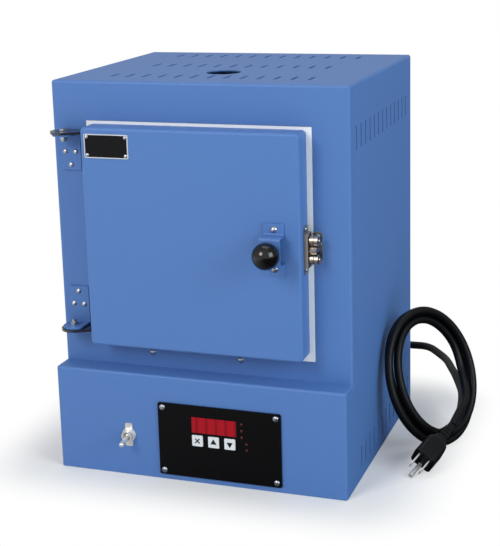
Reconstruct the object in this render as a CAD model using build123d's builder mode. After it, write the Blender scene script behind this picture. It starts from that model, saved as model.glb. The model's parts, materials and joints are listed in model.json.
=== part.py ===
from build123d import *
from math import asin, cos, hypot, pi, radians, sin, tan
import os

# Jewellery kiln: a steel case on a control base, with a ceramic fibre firing chamber, a side-hung
# door on strap hinges, a double roller catch, a ball knob, a keypad controller and a power switch.
# Millimetres. +Z is up and the front faces -Y. The origin is on the face that the kiln rests on,
# at the centre of its footprint.

# ---- Case and base ----
CASE_WIDTH = 330.0
CASE_DEPTH = 277.0
CASE_HEIGHT = 430.0
BASE_HEIGHT = 117.5
BASE_STEP = 26.5            # how far the control base stands forward of the upper case
SHEET = 1.2
BEND = 3.0                  # outside radius of a fold
RETURN = 12.0               # width of a panel's folded edge
LAP = 12.0                  # how far the front panel reaches down behind the ledge
SEAM = 0.3                  # gap between two sheets in one plane
FIT = 0.15                  # gap between two sheets that lie against each other
BACK_FLANGE = 14.0
BACK_INSET = 2.0
BACK_CORNER = 6.0
BACK_SCREW_END = 20.0       # from the case's top and bottom to the first back screw
BACK_SCREW_ROWS = 4

# ---- Louvre slots and vent ----
SLOT_LENGTH = 25.4
SLOT_WIDTH = 3.2
SLOT_PITCH = 18.6
SLOT_COUNT = 13
TOP_ROW_FIRST = 48.0        # from the case front to the first row in the top
TOP_ROW_PITCH = 95.0
SIDE_SLOT_FIRST = 23.7      # from the case front to the first slot in a side
SIDE_SLOT_DROP = 56.2       # from the top of the case to the middle of the slots
BASE_SLOT_FIRST = 32.4
BASE_SLOT_Z = 24.7
VENT_RADIUS = 19.0
VENT_FROM_FRONT = 87.0
VENT_BORE_RADIUS = 9.5

# ---- Firing chamber ----
ROOM_BESIDE = 40.0          # air space between the fibre chamber and the case's sides
ROOM_ABOVE = 42.5
ROOM_BELOW = 22.0           # from the top of the base to the chamber
ROOM_BEHIND = 38.0
MUFFLE_PROUD = 1.0          # how far the fibre frame stands forward of the case front
MUFFLE_GAP = 0.5
SIDE_WALL = 23.5            # thickness of the fibre beside the chamber
ROOF_WALL = 51.0
REAR_WALL = 43.0
CHAMBER_CORNER = 6.0
SHELF_FLANGE = 18.0
SHELF_SCREW_X = (-59.8, 41.8)
SHELF_SCREW_DROP = 5.5      # from the shelf's top face down to its screws
LEAD_SLOT_WIDTH = 70.0
LEAD_SLOT_DEPTH = 12.0

# ---- Heating elements ----
ELEMENT_RADIUS = 3.0        # outside of the coiled wire
ELEMENT_RUNS = 6
ELEMENT_EDGE = 23.0         # from the chamber's floor and roof to the nearest run
ELEMENT_MARGIN = 22.0       # from the chamber's mouth and back wall to the turns
GROOVE_GAP = 0.7
ELEMENT_STRAIGHT = 2.0      # straight wire left between two bends of a turn
TERMINAL_SIZE = (15.0, 16.0, 14.0)
TAIL_LENGTH = 12.0

# ---- Thermocouple ----
PROBE_RADIUS = 3.2
PROBE_REACH = 25.0
PROBE_GAP = 0.2
PROBE_TAIL = 10.0
HEAD_SIZE = (30.0, 14.0, 20.0)

# ---- Door ----
FRAME_BESIDE = 5.0          # how much of the fibre frame shows round the door
FRAME_ABOVE = 2.7
FRAME_BELOW = 7.3
DOOR_GAP = 3.0              # from the case front to the back edge of the pan
PAN_DEPTH = 25.0
PAN_CORNER = 5.0
FIBRE_SIDE_GAP = 0.2
SEAL_GAP = 0.3

# ---- Hinges ----
PIVOT_BESIDE = 25.0         # from the door's left edge to the hinge axis
PIVOT_FORWARD = 16.0        # from the case front to the hinge axis
HINGE_RISE = 2.5            # from the door's middle up to the middle of its two hinges
STRAP_END = 10.3            # from the door's half height back to the middle of a strap
STRAP_THICK = 2.6
STRAP_RADIUS = 14.0
STRAP_ARM = 15.0
STRAP_TAB = 30.0
EAR_THICK = 2.0
EAR_RADIUS = 12.0
BRACKET_WIDTH = 24.0
BRACKET_DROP = 42.0
BRACKET_BEND = 2.5
HINGE_PLAY = 0.3
BOLT_RADIUS = 2.4
BOLT_PLAY = 0.05
BOLT_HEAD_RADIUS = 4.6
BOLT_HEAD = 2.4
NUT_RADIUS = 4.4
NUT_HEIGHT = 4.0
BOLT_TAIL = 2.5
RIVET_RADIUS = 3.1
RIVET_HEAD = 1.8
RIVET_SHANK = 1.5
RIVET_SPREAD = 12.2
RIVET_DROP_1 = 23.5         # from a strap's middle to its bracket's pair of rivets
RIVET_DROP_2 = 37.9         # and to the single one

# ---- Knob on its strap ----
KNOB_FROM_RIGHT = 28.0
KNOB_RADIUS = 14.0
KNOB_FLAT = 7.0
STRAP_WEB = 31.0
HAT_WIDTH = 22.0
HAT_STANDOFF = 16.0
HAT_SHEET = 1.5
HAT_FLANGE = 12.5
HAT_BEND = 2.6
HAT_SCREW_SPACING = 41.3
KNOB_SCREW_RADIUS = 2.5
KNOB_SCREW_REACH = 10.0

# ---- Bare plate at the upper left of the door ----
PLATE_WIDTH = 50.0
PLATE_HEIGHT = 25.4
PLATE_THICK = 0.8
PLATE_CORNER = 1.5
PLATE_FROM_LEFT = 5.0
PLATE_FROM_TOP = 6.6
PLATE_RIVET_INSET = 3.0
PLATE_RIVET_RADIUS = 1.3

# ---- Roller catch ----
CATCH_DROP = 2.5            # from the door's middle down to the catch's
CATCH_FORWARD = 12.0        # from the case front to the rollers' axes
CATCH_PLATE = 50.0
CATCH_PLATE_THICK = 1.2
CATCH_BREADTH = 14.0
CATCH_SCREW_SPACING = 43.0
CHANNEL_LENGTH = 36.0
CHANNEL_DEPTH = 3.6
CHANNEL_WALL = 1.0
SLIDER_LENGTH = 7.0
SLIDER_GAP = 0.2
ROLLER_RADIUS = 5.6
ROLLER_LENGTH = 9.0
ROLLER_SPACING = 19.6
ROLLER_GROOVE = 0.6
ROLLER_END_GAP = 0.4
PIN_RADIUS = 1.3
PIN_PLAY = 0.06
SPRING_RADIUS = 1.7
SPRING_WIRE = 0.3
SPRING_TURNS = 3
SPRING_GAP = 0.05
SPEAR_GAP = 0.35            # between the spear's head and each roller
SPEAR_NECK = 4.0
SPEAR_WIDTH = 6.5
SPEAR_REACH = 20.5
STRIKE_WIDTH = 9.4
STRIKE_LENGTH = 32.0
STRIKE_THICK = 1.5
STRIKE_SCREW_SPACING = 23.0

# ---- Controller ----
FACE_X = 24.9
FACE_Z = 47.0
FACE_WIDTH = 139.0
FACE_HEIGHT = 82.0
FACE_THICK = 2.0
FACE_CORNER = 2.0
FACE_SCREW_X = 64.1
FACE_SCREW_Z = 35.9
DISPLAY_X = 19.5
DISPLAY_Z = 66.5
DISPLAY_WIDTH = 50.5
DISPLAY_HEIGHT = 17.5
DISPLAY_THICK = 1.2
KEY_Z = 48.9
KEY_FIRST_X = 0.5
KEY_PITCH = 18.4
KEY_SIZE = 12.3
KEY_CORNER = 1.0
KEY_GAP = 0.25
KEY_PROUD = 0.8
KEY_TRAVEL = 0.5
KEY_STEM = 3.0
LAMP_RADIUS = 1.5
LAMP_PROUD = 0.6
LAMPS = ((50.7, 72.7), (50.7, 65.2), (50.7, 57.9), (55.8, 50.7), (55.8, 43.9))
WINDOW_MARGIN = 4.0
BOARD_SIZE = (118.0, 62.0)
BOARD_THICK = 1.6
BOARD_STANDOFF = 9.0
STANDOFF_RADIUS = 3.0
STANDOFF_INSET = 5.0

# ---- Power switch ----
SWITCH_X = -80.6
SWITCH_Z = 46.4
BUSH_RADIUS = 5.9
BUSH_PROUD = 8.0
SWITCH_BODY = (15.0, 22.0, 27.0)
SWITCH_PLATE_THICK = 0.8
SWITCH_PLATE_RADIUS = 7.8
SWITCH_TAB_WIDTH = 8.5
SWITCH_TAB_REACH = 13.2
SWITCH_NUT_RADIUS = 7.6
SWITCH_NUT = 2.4
LEVER_TILT = 13.0           # degrees below level at rest, and as far above it when on
LEVER_LENGTH = 20.0
LEVER_ROOT_RADIUS = 1.6
LEVER_TIP_RADIUS = 2.9
LEVER_BALL = 3.0
SOCKET_GAP = 0.1
PIVOT_DEPTH = 4.5           # from the bush's mouth back to the lever's pivot

# ---- Screws ----
SCREW_HEAD_RADIUS = 3.6
SCREW_HEAD = 2.0
SCREW_SHANK_RADIUS = 1.8
SCREW_SHANK = 6.0
HOLE_GAP = 0.15
SMALL_HEAD_RADIUS = 2.4
SMALL_HEAD = 1.3
SMALL_SHANK_RADIUS = 1.2
SMALL_SHANK = 3.0

# ---- Electrics on the floor of the base ----
RELAY_PLACE = (-95.0, 40.0)
RELAY_SIZE = (46.0, 58.0, 28.0)
TRANSFORMER_PLACE = (-20.0, 60.0)
TRANSFORMER_CORE = (48.0, 22.0, 40.0)
TRANSFORMER_COIL = (34.0, 36.0, 28.0)
TRANSFORMER_FOOT = (66.0, 22.0, 1.5)
STRIP_PLACE = (80.0, 70.0)
STRIP_SIZE = (72.0, 22.0, 15.0)
STRIP_POLES = 5
WIRE_RADIUS = 1.4

# ---- Mains lead ----
CORD_RADIUS = 4.7
RELIEF_X = 98.0
RELIEF_Z = 43.0
RELIEF_FLANGE_RADIUS = 12.0
RELIEF_FLANGE = 4.0
RELIEF_LENGTH = 22.0
RELIEF_ROOT_RADIUS = 8.0
RELIEF_GAP = 0.2
# The route from the strain relief round the back corner to the coil, in the row's frame.
CORD_ROUTE = (
    (98.0, 171.8, 43.0),
    (98.0, 197.3, 42.5),
    (105.7, 221.9, 41.0),
    (123.6, 240.4, 39.0),
    (148.4, 247.6, 37.5),
    (173.4, 242.3, 38.0),
    (192.4, 225.2, 39.0),
    (202.6, 200.6, 39.5),
    (211.2, 175.3, 40.0),
    (220.4, 149.3, 40.5),
    (230.6, 125.0, 41.0),
    (239.8, 102.0, 42.5),
    (246.3, 80.5, 45.5),
)
# The last stretch, from the right side of the coil forward and down to the plug's neck.
PLUG_ROUTE = (
    (240.8, 87.4, 88.4),
    (249.5, 72.0, 62.0),
    (254.0, 42.0, 48.0),
    (252.6, 12.5, 42.5),
    (247.8, -11.1, 36.7),
)
COIL_CENTRE = (214.4, 34.8, 77.2)
COIL_HALF_WIDTH = 59.5
COIL_HALF_HEIGHT = 70.3
COIL_END_RADIUS = 51.0
COIL_YAW = 59.7             # degrees from +X to the coil's own level direction
COIL_LEAN = 20.8            # degrees that its top leans over towards the case
COIL_BUNDLE = 11.0          # radius of the bundle of turns
PLUG_PLACE = (225.5, -64.9, 15.5)
PLUG_HEADING = 247.5        # degrees from +X to the way the blades point
PLUG_DIP = 20.0             # degrees that the blades point down: the plug rests on its earth pin
PLUG_ROLL = -33.4           # degrees that the plug is turned about its own axis
PLUG_LENGTH = 36.0
PLUG_WIDTH = 25.0
PLUG_HEIGHT = 24.0
PLUG_WAIST = 14.0
PLUG_NECK = 26.0
PLUG_CORNER = 8.0
PLUG_EDGE = 1.5
BLADE_LENGTH = 17.5
BLADE_WIDTH = 6.3
BLADE_THICK = 1.5
BLADE_SPREAD = 12.7
EARTH_RADIUS = 2.4
EARTH_LENGTH = 20.0
EARTH_DROP = 11.9

# ---- Places worked out from the sizes above ----
FOOTPRINT_DEPTH = CASE_DEPTH + BASE_STEP
Y_BASE = -FOOTPRINT_DEPTH / 2
Y_FRONT = Y_BASE + BASE_STEP
Y_BACK = FOOTPRINT_DEPTH / 2
INNER_WIDTH = CASE_WIDTH - 2 * (SHEET + FIT)
MUFFLE_BOTTOM = BASE_HEIGHT + ROOM_BELOW
MUFFLE_WIDTH = CASE_WIDTH - 2 * ROOM_BESIDE
MUFFLE_HEIGHT = CASE_HEIGHT - ROOM_ABOVE - MUFFLE_BOTTOM
MUFFLE_DEPTH = CASE_DEPTH + MUFFLE_PROUD - ROOM_BEHIND
CHAMBER_WIDTH = MUFFLE_WIDTH - 2 * SIDE_WALL
CHAMBER_HEIGHT = MUFFLE_HEIGHT - 2 * ROOF_WALL
CHAMBER_DEPTH = MUFFLE_DEPTH - REAR_WALL
SHELF_TOP = MUFFLE_BOTTOM
MUFFLE_FRONT = Y_FRONT - MUFFLE_PROUD
MUFFLE_BACK = MUFFLE_FRONT + MUFFLE_DEPTH
MUFFLE_MID_Z = MUFFLE_BOTTOM + MUFFLE_HEIGHT / 2
CHAMBER_BACK = MUFFLE_FRONT + CHAMBER_DEPTH
ELEMENT_X = CHAMBER_WIDTH / 2 + ELEMENT_RADIUS
ELEMENT_PITCH = (CHAMBER_HEIGHT - 2 * ELEMENT_EDGE) / (ELEMENT_RUNS - 1)
ELEMENT_BEND = (ELEMENT_PITCH - ELEMENT_STRAIGHT) / 2
DOOR_WIDTH = MUFFLE_WIDTH - 2 * FRAME_BESIDE
DOOR_HEIGHT = MUFFLE_HEIGHT - FRAME_ABOVE - FRAME_BELOW
DOOR_MID_Z = MUFFLE_BOTTOM + FRAME_BELOW + DOOR_HEIGHT / 2
PAN_BACK = Y_FRONT - DOOR_GAP
DOOR_FACE = PAN_BACK - PAN_DEPTH
DOOR_RIGHT = DOOR_WIDTH / 2
DOOR_TOP = DOOR_MID_Z + DOOR_HEIGHT / 2
PIVOT_X = -DOOR_RIGHT - PIVOT_BESIDE
PIVOT_Y = Y_FRONT - PIVOT_FORWARD
HINGE_MID_Z = DOOR_MID_Z + HINGE_RISE
STRAP_OFFSET = DOOR_HEIGHT / 2 - STRAP_END
KNOB_X = DOOR_RIGHT - KNOB_FROM_RIGHT
CATCH_Z = DOOR_MID_Z - CATCH_DROP
WEB_FACE = DOOR_FACE - HAT_STANDOFF
ROLLER_Y = Y_FRONT - CATCH_FORWARD
CHANNEL_MOUTH = DOOR_RIGHT + CATCH_PLATE_THICK + CHANNEL_DEPTH
ROLLER_INNER_X = CHANNEL_MOUTH + ROLLER_END_GAP
ROLLER_X = ROLLER_INNER_X + ROLLER_LENGTH / 2
FACE_FRONT = Y_BASE - FACE_THICK
BOARD_FRONT = Y_BASE + SHEET + BOARD_STANDOFF
BUSH_MOUTH = Y_BASE - BUSH_PROUD
LEVER_PIVOT_Y = BUSH_MOUTH + PIVOT_DEPTH


def front_plane(y):
    """The upright plane at y that faces the front: its own axes are +X and +Z."""
    return Plane(origin=(0, y, 0), x_dir=(1, 0, 0), z_dir=(0, -1, 0))


def back_plane(y):
    """The upright plane at y that faces the back: its own axes are -X and +Z."""
    return Plane(origin=(0, y, 0), x_dir=(-1, 0, 0), z_dir=(0, 1, 0))


def finish(part, node):
    """Names a finished piece and writes it as parts/NODE.step."""
    part.part.label = node
    export_step(part.part, f"parts/{node}.step")


def dome_head(head_radius, head_height, shank_radius, shank_length):
    """A round-headed screw or rivet: the head on +Z, its shank on -Z."""
    crown_radius = (head_radius**2 + head_height**2) / (2 * head_height)
    half_way = asin(head_radius / crown_radius) / 2
    crown_middle = (crown_radius * sin(half_way), head_height - crown_radius * (1 - cos(half_way)))
    with BuildPart() as fastener:
        with BuildSketch(Plane.XZ):
            with BuildLine():
                shoulder = Line((shank_radius, 0), (head_radius, 0))
                crown = ThreePointArc(shoulder @ 1, crown_middle, (0, head_height))
                Polyline(crown @ 1, (0, -shank_length), (shank_radius, -shank_length), shoulder @ 0)
            make_face()
        revolve(axis=Axis.Z)
    return fastener.part


def hexagon(radius, height, bore):
    """A hexagon nut that stands on the XY plane."""
    with BuildPart() as nut:
        with BuildSketch():
            RegularPolygon(radius, 6)
            Circle(bore, mode=Mode.SUBTRACT)
        extrude(amount=height)
    return nut.part


os.makedirs("parts", exist_ok=True)
screw = dome_head(SCREW_HEAD_RADIUS, SCREW_HEAD, SCREW_SHANK_RADIUS, SCREW_SHANK)
small_screw = dome_head(SMALL_HEAD_RADIUS, SMALL_HEAD, SMALL_SHANK_RADIUS, SMALL_SHANK)
rivet = dome_head(RIVET_RADIUS, RIVET_HEAD, RIVET_SHANK, EAR_THICK + SHEET)
screw_hole = SCREW_SHANK_RADIUS + HOLE_GAP
small_hole = SMALL_SHANK_RADIUS + HOLE_GAP
back_screw_pitch = (CASE_HEIGHT - 2 * BACK_SCREW_END) / (BACK_SCREW_ROWS - 1)
back_screws = [
    (side * (CASE_WIDTH - BACK_FLANGE) / 2, BACK_SCREW_END + row * back_screw_pitch)
    for side in (-1, 1)
    for row in range(BACK_SCREW_ROWS)
]
shelf_screws = [(x, SHELF_TOP - SHELF_SCREW_DROP) for x in SHELF_SCREW_X]
face_screws = [(FACE_X + i * FACE_SCREW_X, FACE_Z + j * FACE_SCREW_Z) for i in (-1, 1) for j in (-1, 1)]
strike_screws_at = [(ROLLER_X, CATCH_Z + j * STRIKE_SCREW_SPACING / 2) for j in (-1, 1)]
hinge_rivets_at = [
    (PIVOT_X + across, HINGE_MID_Z + side * height)
    for side in (-1, 1)
    for across, height in (
        (-RIVET_SPREAD / 2, STRAP_OFFSET - RIVET_DROP_1),
        (RIVET_SPREAD / 2, STRAP_OFFSET - RIVET_DROP_1),
        (0, STRAP_OFFSET - RIVET_DROP_2),
    )
]


# ======== Case ========
# Top and sides in one sheet, with a flange round the back that carries the back panel. The sheet
# is cut away at the front where the folded edges of the front panel take its place.
wrap_back = Y_BACK - SHEET
wrap_depth = wrap_back - Y_FRONT - SEAM
with BuildPart() as case_wrap:
    with BuildSketch(front_plane(wrap_back)) as wrap_outline:
        with Locations((0, CASE_HEIGHT / 2)):
            Rectangle(CASE_WIDTH, CASE_HEIGHT)
        fillet(wrap_outline.vertices().group_by(Axis.Y)[-1], BEND)
    extrude(amount=wrap_depth)
    back_edges = case_wrap.faces().sort_by(Axis.Y)[-1].edges()
    fillet(back_edges.filter_by(lambda e: e.center().Z > BEND), BEND)
    front_opening = case_wrap.faces().sort_by(Axis.Y)[0]
    floor_opening = case_wrap.faces().sort_by(Axis.Z)[0]
    offset(amount=-SHEET, openings=[front_opening, floor_opening])
    with BuildSketch(front_plane(Y_BACK)):
        with Locations((0, (CASE_HEIGHT - BACK_FLANGE) / 2)):
            Rectangle(CASE_WIDTH - 2 * BACK_FLANGE, CASE_HEIGHT - BACK_FLANGE)
    extrude(amount=2 * SHEET + BEND, mode=Mode.SUBTRACT)
    with BuildSketch(front_plane(Y_FRONT + RETURN + SEAM)):
        with Locations((0, CASE_HEIGHT)):
            Rectangle(2 * CASE_WIDTH, 2 * (CASE_HEIGHT - BASE_HEIGHT + LAP + SEAM))
    extrude(amount=RETURN + SEAM, mode=Mode.SUBTRACT)
    with BuildSketch(Plane.XY.offset(CASE_HEIGHT)):
        for row in range(3):
            slots_in_row = SLOT_COUNT - row % 2
            with Locations((0, Y_FRONT + TOP_ROW_FIRST + row * TOP_ROW_PITCH)):
                with GridLocations(SLOT_PITCH, 0, slots_in_row, 1):
                    SlotOverall(SLOT_LENGTH, SLOT_WIDTH, rotation=90)
        with Locations((0, Y_FRONT + VENT_FROM_FRONT)):
            Circle(VENT_RADIUS)
    extrude(amount=-2 * SHEET, mode=Mode.SUBTRACT)
    row_middle = (SLOT_COUNT - 1) * SLOT_PITCH / 2
    with BuildSketch(Plane.YZ):
        for first, height in ((SIDE_SLOT_FIRST, CASE_HEIGHT - SIDE_SLOT_DROP), (BASE_SLOT_FIRST, BASE_SLOT_Z)):
            with Locations((Y_FRONT + first + row_middle, height)):
                with GridLocations(SLOT_PITCH, 0, SLOT_COUNT, 1):
                    SlotOverall(SLOT_LENGTH, SLOT_WIDTH, rotation=90)
    extrude(amount=CASE_WIDTH, both=True, mode=Mode.SUBTRACT)
    with BuildSketch(back_plane(Y_BACK)):
        with Locations(*back_screws):
            Circle(screw_hole)
    extrude(amount=-2 * SHEET - FIT, mode=Mode.SUBTRACT)
finish(case_wrap, "case_wrap")

# Front panel with folded edges at its top and sides, and the cut-out for the fibre frame.
front_bottom = BASE_HEIGHT - LAP
front_height = CASE_HEIGHT - front_bottom
with BuildPart() as case_front:
    with BuildSketch(front_plane(Y_FRONT + RETURN)) as front_outline:
        with Locations((0, front_bottom + front_height / 2)):
            Rectangle(CASE_WIDTH, front_height)
        fillet(front_outline.vertices().group_by(Axis.Y)[-1], BEND)
    extrude(amount=RETURN)
    face_edges = case_front.faces().sort_by(Axis.Y)[0].edges()
    fillet(face_edges.filter_by(lambda e: e.center().Z > front_bottom + BEND), BEND)
    open_back = case_front.faces().sort_by(Axis.Y)[-1]
    open_below = case_front.faces().sort_by(Axis.Z)[0]
    offset(amount=-SHEET, openings=[open_back, open_below])
    with BuildSketch(front_plane(Y_FRONT)):
        with Locations((0, MUFFLE_MID_Z)):
            Rectangle(MUFFLE_WIDTH + 2 * MUFFLE_GAP, MUFFLE_HEIGHT + 2 * MUFFLE_GAP)
        with Locations(*shelf_screws):
            Circle(screw_hole)
        with Locations(*hinge_rivets_at):
            Circle(RIVET_SHANK + HOLE_GAP)
        with Locations(*strike_screws_at):
            Circle(small_hole)
    extrude(amount=-2 * SHEET, mode=Mode.SUBTRACT)
finish(case_front, "case_front")

# Control base: a folded box front with its ledge, cut out behind the controller's face plate.
with BuildPart() as base_front:
    with BuildSketch(front_plane(Y_FRONT)) as base_outline:
        with Locations((0, BASE_HEIGHT / 2)):
            Rectangle(CASE_WIDTH, BASE_HEIGHT)
        fillet(base_outline.vertices().group_by(Axis.Y)[-1], BEND)
    extrude(amount=BASE_STEP)
    base_edges = base_front.faces().sort_by(Axis.Y)[0].edges()
    fillet(base_edges.filter_by(lambda e: e.center().Z > BEND), BEND)
    base_back = base_front.faces().sort_by(Axis.Y)[-1]
    base_below = base_front.faces().sort_by(Axis.Z)[0]
    offset(amount=-SHEET, openings=[base_back, base_below])
    with BuildSketch(front_plane(Y_BASE)):
        with Locations((FACE_X, FACE_Z)):
            Rectangle(2 * (FACE_SCREW_X - WINDOW_MARGIN), 2 * (FACE_SCREW_Z - WINDOW_MARGIN))
        with Locations(*face_screws):
            Circle(small_hole)
        with Locations((SWITCH_X, SWITCH_Z)):
            Circle(BUSH_RADIUS + HOLE_GAP)
    extrude(amount=-2 * SHEET, mode=Mode.SUBTRACT)
finish(base_front, "base_front")

with BuildPart() as back_panel:
    with BuildSketch(back_plane(Y_BACK)):
        with Locations((0, CASE_HEIGHT / 2)):
            RectangleRounded(CASE_WIDTH - 2 * BACK_INSET, CASE_HEIGHT - 2 * BACK_INSET, BACK_CORNER)
        with Locations(*back_screws):
            Circle(screw_hole, mode=Mode.SUBTRACT)
        with Locations((-RELIEF_X, RELIEF_Z)):
            Circle(RELIEF_ROOT_RADIUS, mode=Mode.SUBTRACT)
    extrude(amount=-SHEET)
finish(back_panel, "back_panel")

# Floor of the base, folded up all round inside the sides.
floor_front = Y_BASE + SHEET + FIT
floor_back = wrap_back - SHEET - FIT
with BuildPart() as bottom_pan:
    with BuildSketch() as floor_outline:
        with Locations((0, (floor_front + floor_back) / 2)):
            RectangleRounded(INNER_WIDTH, floor_back - floor_front, BEND)
    extrude(amount=RETURN)
    fillet(bottom_pan.faces().sort_by(Axis.Z)[0].edges(), BEND - SHEET)
    offset(amount=-SHEET, openings=bottom_pan.faces().sort_by(Axis.Z)[-1])
finish(bottom_pan, "bottom_pan")

# Shelf under the firing chamber, folded down all round, with a slot for the leads at its back.
shelf_front = Y_FRONT + SHEET + FIT
with BuildPart() as muffle_shelf:
    with BuildSketch(Plane.XY.offset(SHELF_TOP)):
        with Locations((0, (shelf_front + floor_back) / 2)):
            RectangleRounded(INNER_WIDTH, floor_back - shelf_front, BEND)
    extrude(amount=-SHELF_FLANGE)
    fillet(muffle_shelf.faces().sort_by(Axis.Z)[-1].edges(), BEND - SHEET)
    offset(amount=-SHEET, openings=muffle_shelf.faces().sort_by(Axis.Z)[0])
    with BuildSketch(Plane.XY.offset(SHELF_TOP)):
        with Locations((0, (MUFFLE_BACK + floor_back) / 2)):
            Rectangle(LEAD_SLOT_WIDTH, LEAD_SLOT_DEPTH)
    extrude(amount=-2 * SHEET, mode=Mode.SUBTRACT)
    with BuildSketch(front_plane(Y_FRONT)):
        with Locations(*shelf_screws):
            Circle(screw_hole)
    extrude(amount=-3 * SHEET, mode=Mode.SUBTRACT)
finish(muffle_shelf, "muffle_shelf")

with BuildPart(back_plane(Y_BACK)) as back_screw_set:
    with Locations(*back_screws):
        add(screw)
finish(back_screw_set, "back_screws")

with BuildPart(front_plane(Y_FRONT)) as shelf_screw_set:
    with Locations(*shelf_screws):
        add(screw)
finish(shelf_screw_set, "shelf_screws")


# ======== Firing chamber ========
def element_route(side_x):
    """The element's runs, one above the other in a side wall, with both tails out at the back."""
    tail = MUFFLE_BACK + TAIL_LENGTH
    near = MUFFLE_FRONT + ELEMENT_MARGIN
    far = CHAMBER_BACK - ELEMENT_MARGIN
    top = MUFFLE_MID_Z + (ELEMENT_RUNS - 1) * ELEMENT_PITCH / 2
    points = [(side_x, tail, top)]
    for run in range(ELEMENT_RUNS - 1):
        turn_y = far if run % 2 else near
        points.append((side_x, turn_y, top - run * ELEMENT_PITCH))
        points.append((side_x, turn_y, top - (run + 1) * ELEMENT_PITCH))
    points.append((side_x, tail, top - (ELEMENT_RUNS - 1) * ELEMENT_PITCH))
    return points


tail_heights = [MUFFLE_MID_Z + side * (ELEMENT_RUNS - 1) * ELEMENT_PITCH / 2 for side in (-1, 1)]
tails_at = [(side * ELEMENT_X, z) for side in (-1, 1) for z in tail_heights]
with BuildPart() as muffle:
    with BuildSketch(front_plane(MUFFLE_BACK)):
        with Locations((0, MUFFLE_MID_Z)):
            Rectangle(MUFFLE_WIDTH, MUFFLE_HEIGHT)
    extrude(amount=MUFFLE_DEPTH)
    with BuildSketch(front_plane(MUFFLE_FRONT)):
        with Locations((0, MUFFLE_MID_Z)):
            RectangleRounded(CHAMBER_WIDTH, CHAMBER_HEIGHT, CHAMBER_CORNER)
    extrude(amount=-CHAMBER_DEPTH, mode=Mode.SUBTRACT)
    for side in (-1, 1):
        with BuildSketch(Plane.YZ.offset(side * CHAMBER_WIDTH / 2)) as groove:
            with BuildLine():
                route = [(min(y, CHAMBER_BACK), z) for _, y, z in element_route(0)]
                FilletPolyline(*route, radius=ELEMENT_BEND)
            trace(line_width=2 * (ELEMENT_RADIUS + GROOVE_GAP))
        extrude(amount=side * 2 * (ELEMENT_RADIUS + GROOVE_GAP / 2), mode=Mode.SUBTRACT)
    with BuildSketch(back_plane(MUFFLE_BACK)):
        with Locations(*tails_at):
            Circle(ELEMENT_RADIUS + GROOVE_GAP / 2)
        with Locations((0, MUFFLE_MID_Z)):
            Circle(PROBE_RADIUS + PROBE_GAP)
    extrude(amount=-(MUFFLE_BACK - CHAMBER_BACK), mode=Mode.SUBTRACT)
    with BuildSketch(Plane.XY.offset(MUFFLE_BOTTOM + MUFFLE_HEIGHT)):
        with Locations((0, Y_FRONT + VENT_FROM_FRONT)):
            Circle(VENT_BORE_RADIUS)
    extrude(amount=-MUFFLE_HEIGHT / 2, mode=Mode.SUBTRACT)
finish(muffle, "muffle")

for side, hand in ((-1, "left"), (1, "right")):
    with BuildPart() as element:
        with BuildLine() as element_line:
            FilletPolyline(*element_route(side * ELEMENT_X), radius=ELEMENT_BEND)
        with BuildSketch(element_line.line ^ 0):
            Circle(ELEMENT_RADIUS)
        sweep()
    finish(element, f"element_{hand}")

with BuildPart() as element_terminals:
    with BuildSketch(back_plane(MUFFLE_BACK)):
        with Locations(*tails_at):
            RectangleRounded(TERMINAL_SIZE[0], TERMINAL_SIZE[2], 2)
            Circle(ELEMENT_RADIUS + PROBE_GAP, mode=Mode.SUBTRACT)
    extrude(amount=TERMINAL_SIZE[1])
finish(element_terminals, "element_terminals")

with BuildPart() as thermocouple:
    with BuildSketch(back_plane(MUFFLE_BACK + PROBE_TAIL)):
        with Locations((0, MUFFLE_MID_Z)):
            Circle(PROBE_RADIUS)
    extrude(amount=-(PROBE_TAIL + MUFFLE_BACK - CHAMBER_BACK + PROBE_REACH))
    fillet(thermocouple.edges().sort_by(Axis.Y)[0], PROBE_RADIUS * 0.8)
finish(thermocouple, "thermocouple")

with BuildPart() as thermocouple_head:
    with BuildSketch(back_plane(MUFFLE_BACK)):
        with Locations((0, MUFFLE_MID_Z)):
            RectangleRounded(HEAD_SIZE[0], HEAD_SIZE[2], 3)
            Circle(PROBE_RADIUS + PROBE_GAP, mode=Mode.SUBTRACT)
    extrude(amount=HEAD_SIZE[1])
finish(thermocouple_head, "thermocouple_head")


# ======== Door ========
hat_screws = [(KNOB_X, DOOR_MID_Z + j * HAT_SCREW_SPACING / 2) for j in (-1, 1)]
plate_x = -DOOR_RIGHT + PLATE_FROM_LEFT + PLATE_WIDTH / 2
plate_z = DOOR_TOP - PLATE_FROM_TOP - PLATE_HEIGHT / 2
plate_mid = (plate_x, plate_z)
rivet_across = PLATE_WIDTH / 2 - PLATE_RIVET_INSET
rivet_up = PLATE_HEIGHT / 2 - PLATE_RIVET_INSET
plate_rivets_at = [(plate_x + i * rivet_across, plate_z + j * rivet_up) for i in (-1, 1) for j in (-1, 1)]
catch_screws_at = [(ROLLER_Y, CATCH_Z + j * CATCH_SCREW_SPACING / 2) for j in (-1, 1)]
with BuildPart() as door_pan:
    with BuildSketch(front_plane(PAN_BACK)):
        with Locations((0, DOOR_MID_Z)):
            RectangleRounded(DOOR_WIDTH, DOOR_HEIGHT, PAN_CORNER)
    extrude(amount=PAN_DEPTH)
    fillet(door_pan.faces().sort_by(Axis.Y)[0].edges(), BEND)
    offset(amount=-SHEET, openings=door_pan.faces().sort_by(Axis.Y)[-1])
    with BuildSketch(front_plane(DOOR_FACE)):
        with Locations(*hat_screws):
            Circle(screw_hole)
        with Locations(*plate_rivets_at):
            Circle(SMALL_SHANK_RADIUS)
    extrude(amount=-2 * SHEET, mode=Mode.SUBTRACT)
    with BuildSketch(Plane.YZ.offset(DOOR_RIGHT)):
        with Locations(*catch_screws_at):
            Circle(small_hole)
    extrude(amount=-2 * SHEET, mode=Mode.SUBTRACT)
finish(door_pan, "door_pan")

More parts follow.
